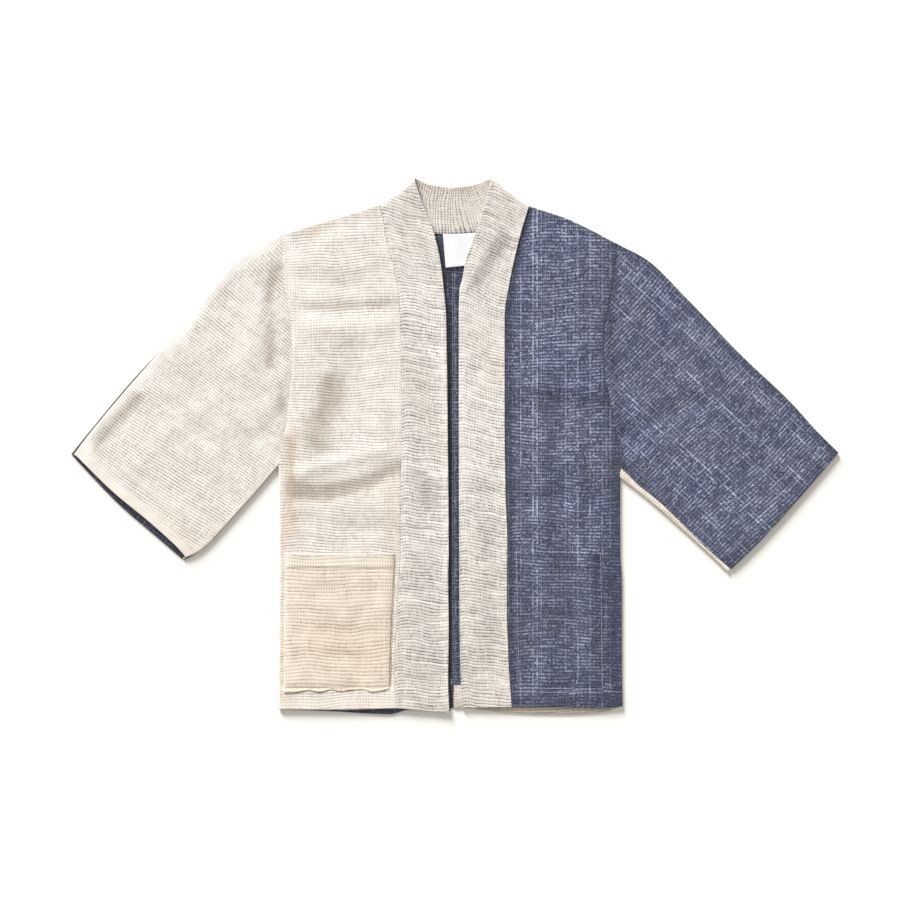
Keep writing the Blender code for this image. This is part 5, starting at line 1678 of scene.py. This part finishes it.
# Indigo dyes; shadow is the colour of the painted shade
Dyes = namedtuple("Dyes", "deep greyed dusty gap shadow grit pale fleck")
INDIGO_DYES = Dyes(
    deep=(0.034, 0.043, 0.099), greyed=(0.048, 0.053, 0.090), dusty=(0.080, 0.080, 0.098),
    gap=(0.022, 0.026, 0.050), shadow=(0.024, 0.027, 0.046), grit=(0.17, 0.19, 0.29),
    pale=(0.46, 0.50, 0.66), fleck=(0.62, 0.65, 0.76))

LABEL_WHITE = (0.92, 0.92, 0.95)
LABEL_GREYED = (0.86, 0.86, 0.90)
LABEL_GAP = (0.60, 0.60, 0.66)
CREAM_INSIDE = (0.80, 0.72, 0.64)
PALE_THREAD = ((0.62, 0.63, 0.69), (0.36, 0.38, 0.46))
BROWN_THREAD = ((0.50, 0.36, 0.24), (0.26, 0.17, 0.11))

# In a yarn, light is the colour of painted highlight and of paler blocks of yarn, shadow that of painted
# shade, and groove that of the lines between ribs, partly dark yarn and partly painted shade in the grooves.
Yarn = namedtuple(
    "Yarn", "pitch warp line_width boldness crown light warm shadow groove dark line specks heather")
CREAM = Yarn(
    pitch=CREAM_PITCH, warp=0.0039, line_width=0.21, boldness=4.9, crown=(0.90, 0.855, 0.80),
    light=(0.97, 0.935, 0.885), warm=(0.86, 0.73, 0.59), shadow=(0.51, 0.44, 0.37),
    groove=(0.28, 0.225, 0.19), dark=(0.14, 0.12, 0.12), line=0.95, specks=0.030, heather=0.16)
POCKET = Yarn(
    pitch=POCKET_PITCH, warp=0.0040, line_width=0.20, boldness=3.4, crown=(0.86, 0.775, 0.675),
    light=(0.94, 0.87, 0.775), warm=(0.84, 0.68, 0.51), shadow=(0.62, 0.51, 0.39),
    groove=(0.38, 0.27, 0.19), dark=(0.20, 0.15, 0.13), line=0.85, specks=0.020, heather=0.14)
BAND = Yarn(
    pitch=BAND_PITCH, warp=0.0040, line_width=0.25, boldness=3.6, crown=(0.885, 0.83, 0.77),
    light=(0.96, 0.925, 0.88), warm=(0.72, 0.64, 0.55), shadow=(0.50, 0.46, 0.42),
    groove=(0.145, 0.130, 0.130), dark=(0.085, 0.080, 0.090), line=0.98, specks=0.075, heather=0.20)

Thread = namedtuple("Thread", "index edge")


class Graph:
    """Short calls for a material's nodes."""

    def __init__(self, name):
        self.material = bpy.data.materials.new(name)
        self.material.use_nodes = True
        self.tree = self.material.node_tree
        self.shader = self.tree.nodes["Principled BSDF"]
        self.u, self.v = self.read_map("weave")
        # The tone map gives painted shade above nought, painted highlight below it, and warmth
        shade, warm = self.read_map("tone")
        self.shade = self.math("MULTIPLY_ADD", shade, 2.0, -1.0)
        self.warm = self.math("MULTIPLY_ADD", warm, 2.0, -1.0)

    def read_map(self, name):
        """The two values of one of the mesh's maps."""
        node = self.tree.nodes.new("ShaderNodeUVMap")
        node.uv_map = name
        split = self.tree.nodes.new("ShaderNodeSeparateXYZ")
        self.tree.links.new(node.outputs["UV"], split.inputs[0])
        return split.outputs["X"], split.outputs["Y"]

    def put(self, value, socket):
        """Set a socket to a number or colour, or link it."""
        if isinstance(value, bpy.types.NodeSocket):
            self.tree.links.new(value, socket)
        elif isinstance(value, tuple):
            socket.default_value = (*value, 1.0) if len(socket.default_value) == 4 else value
        else:
            socket.default_value = value

    def math(self, operation, *values):
        """One Math node."""
        node = self.tree.nodes.new("ShaderNodeMath")
        node.operation = operation
        for value, socket in zip(values, node.inputs):
            self.put(value, socket)
        return node.outputs[0]

    def add(self, first, *others):
        """Sum of values."""
        for other in others:
            first = self.math("ADD", first, other)
        return first

    def times(self, first, *others):
        """Product of values."""
        for other in others:
            first = self.math("MULTIPLY", first, other)
        return first

    def ramp(self, value, start, stop, low=0.0, high=1.0):
        """Smooth step of a value from low at start to high at stop."""
        node = self.tree.nodes.new("ShaderNodeMapRange")
        node.interpolation_type = "SMOOTHSTEP"
        for item, socket in zip((value, start, stop, low, high), node.inputs):
            self.put(item, socket)
        return node.outputs[0]

    def vector(self, x, y, z):
        """Vector of three values."""
        node = self.tree.nodes.new("ShaderNodeCombineXYZ")
        for value, socket in zip((x, y, z), node.inputs):
            self.put(value, socket)
        return node.outputs[0]

    def noise(self, across, down, seed, detail=1.0):
        """Smooth noise about 0.5 over places counted in cells."""
        node = self.tree.nodes.new("ShaderNodeTexNoise")
        self.put(self.vector(across, down, seed), node.inputs["Vector"])
        self.put(1.0, node.inputs["Scale"])
        self.put(detail, node.inputs["Detail"])
        return node.outputs[0]

    def field(self, cells):
        """Noise over the weave map."""
        across = self.times(self.u, cells.across)
        return self.noise(across, self.times(self.v, cells.down), cells.seed, cells.detail)

    def dashes(self, across, down, look):
        """Noise read as dashes."""
        return self.ramp(self.noise(across, down, look.seed), look.start, look.stop, look.low, look.high)

    def weft_dashes(self, row, look):
        """Dashes along the wefts, different from row to row."""
        across = self.times(self.u, look.cells)
        return self.dashes(across, self.times(row, look.row_step), look)

    def warp_dashes(self, row, look):
        """Dashes along the warps, different from row to row."""
        across = self.times(row, look.row_step)
        return self.dashes(across, self.times(self.v, look.cells), look)

    def dice(self, across, down, seed):
        """Random value for each cell."""
        node = self.tree.nodes.new("ShaderNodeTexWhiteNoise")
        node.noise_dimensions = "3D"
        self.put(self.vector(across, down, seed), node.inputs["Vector"])
        return node.outputs["Value"]

    def blend(self, share, start, stop):
        """Colour between two colours."""
        node = self.tree.nodes.new("ShaderNodeMix")
        node.data_type = "RGBA"
        self.put(share, node.inputs["Factor"])
        self.put(start, node.inputs["A"])
        self.put(stop, node.inputs["B"])
        return [out for out in node.outputs if out.type == "RGBA"][0]

    def thread(self, place, pitch):
        """Index of a thread, and the distance from its edge, 0 to 0.5."""
        turns = self.times(place, 1 / pitch)
        index = self.math("FLOOR", turns)
        part = self.math("FRACT", turns)
        return Thread(index, self.math("MINIMUM", part, self.math("SUBTRACT", 1.0, part)))

    def finish(self, colour, height, relief, roughness=CLOTH_ROUGHNESS, sheen=CLOTH_SHEEN):
        """Cloth shader with a bump from a height in relief's metres."""
        bump = self.tree.nodes.new("ShaderNodeBump")
        self.put(relief, bump.inputs["Distance"])
        self.put(1.0, bump.inputs["Strength"])
        self.put(height, bump.inputs["Height"])
        self.tree.links.new(bump.outputs[0], self.shader.inputs["Normal"])
        self.put(colour, self.shader.inputs["Base Color"])
        self.put(roughness, self.shader.inputs["Roughness"])
        self.put(sheen, self.shader.inputs["Sheen Weight"])
        self.put(SHEEN_ROUGHNESS, self.shader.inputs["Sheen Roughness"])
        self.put(CLOTH_SPECULAR, self.shader.inputs["Specular IOR Level"])
        return self.material


def rib_lines(g, yarn, rib, warp):
    """Strength of the dashed dark lines between ribs, partly dark yarn and partly painted groove
    shade, and how far the painted shade deepens them and the painted highlight fades them.
    """
    line = g.ramp(rib.edge, 0.02, yarn.line_width, 1.0, 0.0)
    row_place = g.times(rib.index, RIB_DASHES.row_step)
    dash = g.dashes(g.times(g.u, RIB_DASHES.cells), row_place, RIB_DASHES)
    long_dash = g.dashes(g.times(g.u, LONG_RIB_DASHES.cells), row_place, LONG_RIB_DASHES)
    patch = g.ramp(g.field(RIB_PATCHES), 0.34, 0.64, 0.35, 1.3)
    uneven = g.ramp(g.dice(rib.index, 0.0, 4.0), 0.0, 1.0, 0.30, 1.3)
    between = g.ramp(warp.edge, 0.04, 0.36, 0.0, 1.25)
    deeper = g.ramp(g.shade, -0.8, 1.1, 0.02, 1.95)
    return g.times(line, dash, long_dash, patch, uneven, between, deeper, yarn.boldness), deeper


def ribbed_colour(g, yarn, rib, warp):
    """Colour of a ribbed cloth: crowns, painted shade and highlight, heather, lines and specks."""
    strength, deeper = rib_lines(g, yarn, rib, warp)
    speck = g.math("GREATER_THAN", g.dice(warp.index, rib.index, 5.0), 1 - yarn.specks)
    speck = g.times(speck, g.ramp(rib.edge, 0.04, 0.30, 1.0, 0.0), g.ramp(warp.edge, 0.05, 0.35), deeper)
    warp_line = g.ramp(warp.edge, 0.0, 0.24, 0.46, 0.0)
    warp_line = g.times(warp_line, g.ramp(g.field(WARP_PATCHES), 0.32, 0.6))
    slow = g.ramp(g.field(WARM_PATCHES), 0.35, 0.68, -0.15, 0.25)
    heather = g.ramp(g.field(HEATHER), 0.38, 0.68, 0.0, yarn.heather)
    base = g.blend(g.math("ADD", g.times(g.warm, 0.55), slow), yarn.crown, yarn.warm)
    # Painted shade, then painted highlight
    base = g.blend(g.ramp(g.shade, 0.0, 1.2, 0.0, 0.80), base, yarn.shadow)
    base = g.blend(g.ramp(g.shade, -1.0, 0.0, 0.55, 0.0), base, yarn.light)
    base = g.blend(heather, base, yarn.groove)
    block = g.math("FLOOR", g.times(g.u, 90.0))
    base = g.blend(g.times(g.dice(rib.index, block, 14.0), yarn.heather, 0.5), base, yarn.light)
    base = g.blend(warp_line, base, yarn.groove)
    base = g.blend(g.times(strength, yarn.line), base, yarn.groove)
    return g.blend(g.times(speck, 0.7), base, yarn.dark)


def ribbed_look(name, yarn):
    """Light cloth of thick ribs with dashed dark lines between them and specks where warps show."""
    g = Graph(name)
    rib = g.thread(g.v, yarn.pitch)
    warp = g.thread(g.u, yarn.warp)
    colour = ribbed_colour(g, yarn, rib, warp)
    twist = g.field(RIB_TWIST)
    firm = g.ramp(g.shade, -0.9, -0.2, 0.15, 1.0)
    height = g.add(g.times(g.ramp(rib.edge, 0.0, 0.3), firm), g.times(twist, 0.9),
                   g.times(g.ramp(warp.edge, 0.0, 0.4), firm, 0.9))
    return g.finish(colour, height, RIB_RELIEF)


def weft_slubs(g, patch, weft, half, fine):
    """Pale dashes along the wefts and the threads between them."""
    run = g.weft_dashes(weft.index, WEFT_RUNS)
    dash = g.weft_dashes(weft.index, WEFT_DASHES)
    light = g.times(dash, run, patch, g.ramp(weft.edge, 0.16, 0.42), g.ramp(fine.edge, 0.0, 0.3, 0.60, 1.0))
    between = g.weft_dashes(half.index, HALF_DASHES)
    return g.add(light, g.times(between, patch, g.ramp(half.edge, 0.10, 0.40), FINE_SLUBS))


def warp_slubs(g, patch, warp, fine):
    """Pale dashes along the warps and the threads between them, stronger in some stripes."""
    run = g.warp_dashes(warp.index, WARP_RUNS)
    dash = g.warp_dashes(warp.index, WARP_DASHES)
    band = g.math("FLOOR", g.times(g.u, 1 / STRIPE_WIDTH))
    stripe = g.ramp(g.dice(band, 0.0, 6.0), 0.1, 0.9, 0.45, 1.0)
    bold = g.ramp(g.dice(warp.index, 0.0, 7.0), 0.35, 0.97, 0.22, 1.35)
    light = g.times(dash, run, stripe, bold, g.ramp(warp.edge, 0.24, 0.44))
    between = g.warp_dashes(fine.index, FINE_DASHES)
    return g.add(light, g.times(between, patch, stripe, g.ramp(fine.edge, 0.12, 0.40), FINE_SLUBS))


def indigo_ground(g, dyes, half, fine):
    """Dark cloth under the slubs, greyer in patches, darker between threads, and in the painted shade."""
    ground = g.blend(g.ramp(g.field(DYE_PATCHES), 0.35, 0.65), dyes.deep, dyes.greyed)
    ground = g.blend(g.times(g.warm, 0.5), ground, dyes.dusty)
    gap = g.ramp(half.edge, 0.0, 0.26, 0.50, 0.0)
    gap = g.math("MAXIMUM", gap, g.ramp(fine.edge, 0.0, 0.20, 0.30, 0.0))
    ground = g.blend(gap, ground, dyes.gap)
    return g.blend(g.ramp(g.shade, 0.0, 1.3, 0.0, 0.85), ground, dyes.shadow)


def indigo_look(name, bright):
    """Indigo cloth: short pale slubs along both threads over a dark ground, in stripes and patches."""
    dyes = Dyes(*[tuple(bright * part for part in colour) for colour in INDIGO_DYES])
    g = Graph(name)
    weft = g.thread(g.v, INDIGO_PITCH)
    half = g.thread(g.v, INDIGO_PITCH / 2)
    warp = g.thread(g.u, INDIGO_WARP)
    fine = g.thread(g.u, INDIGO_FINE_WARP)
    # Pale slubs fade in the painted shade and show more in the painted highlight
    paler = g.ramp(g.shade, -0.8, 1.6, 1.40, 0.30)
    patch = g.ramp(g.field(SLUB_PATCHES), 0.34, 0.64, 0.80, 1.08)
    weft_light = weft_slubs(g, patch, weft, half, fine)
    warp_light = warp_slubs(g, patch, warp, fine)
    grit = g.times(g.ramp(g.field(GRIT), 0.50, 0.68), 0.50)
    fleck = g.math("GREATER_THAN", g.dice(fine.index, half.index, 9.0), 1 - FLECK_SHARE)
    fleck = g.times(fleck, g.ramp(half.edge, 0.05, 0.4), g.ramp(fine.edge, 0.05, 0.4))
    ground = indigo_ground(g, dyes, half, fine)
    colour = g.blend(grit, ground, dyes.grit)
    colour = g.blend(g.times(weft_light, 0.62, paler), colour, dyes.pale)
    colour = g.blend(g.times(warp_light, 0.78, paler), colour, dyes.pale)
    colour = g.blend(g.times(fleck, 0.75, paler), colour, dyes.fleck)
    twist = g.field(SLUB_TWIST)
    height = g.add(g.ramp(half.edge, 0.0, 0.4), g.times(g.ramp(fine.edge, 0.0, 0.4), 0.6),
                   g.times(twist, 0.6))
    return g.finish(colour, height, INDIGO_RELIEF, 0.94, 0.10)


def label_look(name):
    """Bright white tape with a fine diagonal weave."""
    g = Graph(name)
    edge = g.thread(g.add(g.u, g.times(g.v, 0.6)), LABEL_PITCH).edge
    colour = g.blend(g.ramp(g.field(LABEL_PATCHES), 0.35, 0.65, 0.0, 0.35), LABEL_WHITE, LABEL_GREYED)
    colour = g.blend(g.ramp(edge, 0.0, 0.25, 0.12, 0.0), colour, LABEL_GAP)
    return g.finish(colour, g.ramp(edge, 0.0, 0.4), LABEL_RELIEF, 0.7, 0.1)


def thread_look(name, colour, dark):
    """Twisted thread, told by place since it has no weave map."""
    g = Graph(name)
    node = g.tree.nodes.new("ShaderNodeTexCoord")
    mottle = g.tree.nodes.new("ShaderNodeTexNoise")
    g.tree.links.new(node.outputs["Object"], mottle.inputs["Vector"])
    g.put(THREAD_CELLS, mottle.inputs["Scale"])
    uneven = mottle.outputs[0]
    return g.finish(g.blend(g.ramp(uneven, 0.4, 0.6), colour, dark), uneven, THREAD_RELIEF)


def make_looks():
    """Every cloth's and thread's material by name."""
    return {
        "cream": ribbed_look("cream_cloth", CREAM),
        "cream_inside": ribbed_look("cream_inside", CREAM._replace(crown=CREAM_INSIDE)),
        "pocket": ribbed_look("pocket_cloth", POCKET),
        "band": ribbed_look("collar_cloth", BAND),
        "indigo": indigo_look("indigo_cloth", 1.0),
        # Darker copy of the indigo, as painted shade, for inner faces and the right sleeve's back
        "indigo_in_painted_shade": indigo_look("indigo_in_painted_shade", PAINTED_SHADE_BRIGHTNESS),
        "label": label_look("label_cloth"),
        "pale_thread": thread_look("pale_thread", *PALE_THREAD),
        "brown_thread": thread_look("brown_thread", *BROWN_THREAD)}


# Stage, light and camera

FLOOR_HALF = 6.0
FLOOR_LEVEL = -0.0002
PAPER = (0.97, 0.955, 0.92, 1.0)
FILL_COLOUR = (1.0, 0.955, 0.90, 1.0)
FILL_STRENGTH = 0.50
KEY_COLOUR = (0.965, 0.985, 1.0)
KEY_STRENGTH = 6.2
KEY_SPREAD = 22
KEY_TOWARD = (0.38, -0.84, -0.32)

# The camera, and where the frame's origin lies in the picture
SENSOR_WIDTH = 36.0
PHOTO_HALF = 450
ORIGIN_COLUMN = 454.73
ORIGIN_ROW = 445.73
PHOTO_CENTRE_X = (PHOTO_HALF - ORIGIN_COLUMN) * STEP
PHOTO_CENTRE_Y = (ORIGIN_ROW - PHOTO_HALF) * STEP
CAMERA_HEIGHT = 3.2


def make_stage():
    """White floor under the jacket."""
    mesh = bpy.data.meshes.new("floor")
    build = bmesh.new()
    bmesh.ops.create_grid(build, x_segments=1, y_segments=1, size=FLOOR_HALF)
    build.to_mesh(mesh)
    build.free()
    floor = add_object("floor", mesh)
    floor.location.z = FLOOR_LEVEL
    paper = bpy.data.materials.new("floor_paper")
    paper.use_nodes = True
    shader = paper.node_tree.nodes["Principled BSDF"]
    shader.inputs["Base Color"].default_value = PAPER
    shader.inputs["Roughness"].default_value = 1.0
    shader.inputs["Specular IOR Level"].default_value = 0.0
    mesh.materials.append(paper)


def make_light():
    """Low soft light from the upper left, and an even fill."""
    world = bpy.data.worlds.new("studio")
    bpy.context.scene.world = world
    world.use_nodes = True
    background = world.node_tree.nodes["Background"]
    background.inputs["Color"].default_value = FILL_COLOUR
    background.inputs["Strength"].default_value = FILL_STRENGTH
    sun = bpy.data.lights.new("key", "SUN")
    sun.energy = KEY_STRENGTH
    sun.color = KEY_COLOUR
    sun.angle = math.radians(KEY_SPREAD)
    key = add_object("key", sun)
    key.rotation_euler = Vector(KEY_TOWARD).to_track_quat("-Z", "Y").to_euler()


def make_camera():
    """Camera straight above, with the photo's frame."""
    data = bpy.data.cameras.new("camera")
    data.sensor_width = SENSOR_WIDTH
    data.lens = SENSOR_WIDTH / 2 / (PHOTO_HALF * STEP / CAMERA_HEIGHT)
    camera = add_object("camera", data)
    camera.location = (PHOTO_CENTRE_X, PHOTO_CENTRE_Y, CAMERA_HEIGHT)
    bpy.context.scene.camera = camera


def main():
    """Build the stage and the jacket."""
    make_camera()
    make_stage()
    make_light()
    bpy.context.scene.view_settings.view_transform = "Standard"
    looks = make_looks()
    _, back_left = make_backs(looks)
    make_sleeves(looks)
    fronts = make_fronts(looks)
    make_collar(looks)
    pockets = make_pockets(looks)
    make_label(looks)
    indigo_stitches(looks, (fronts[1], pockets[1]), back_left)
    stray_threads(looks, (fronts[0], pockets[0]), back_left)


main()
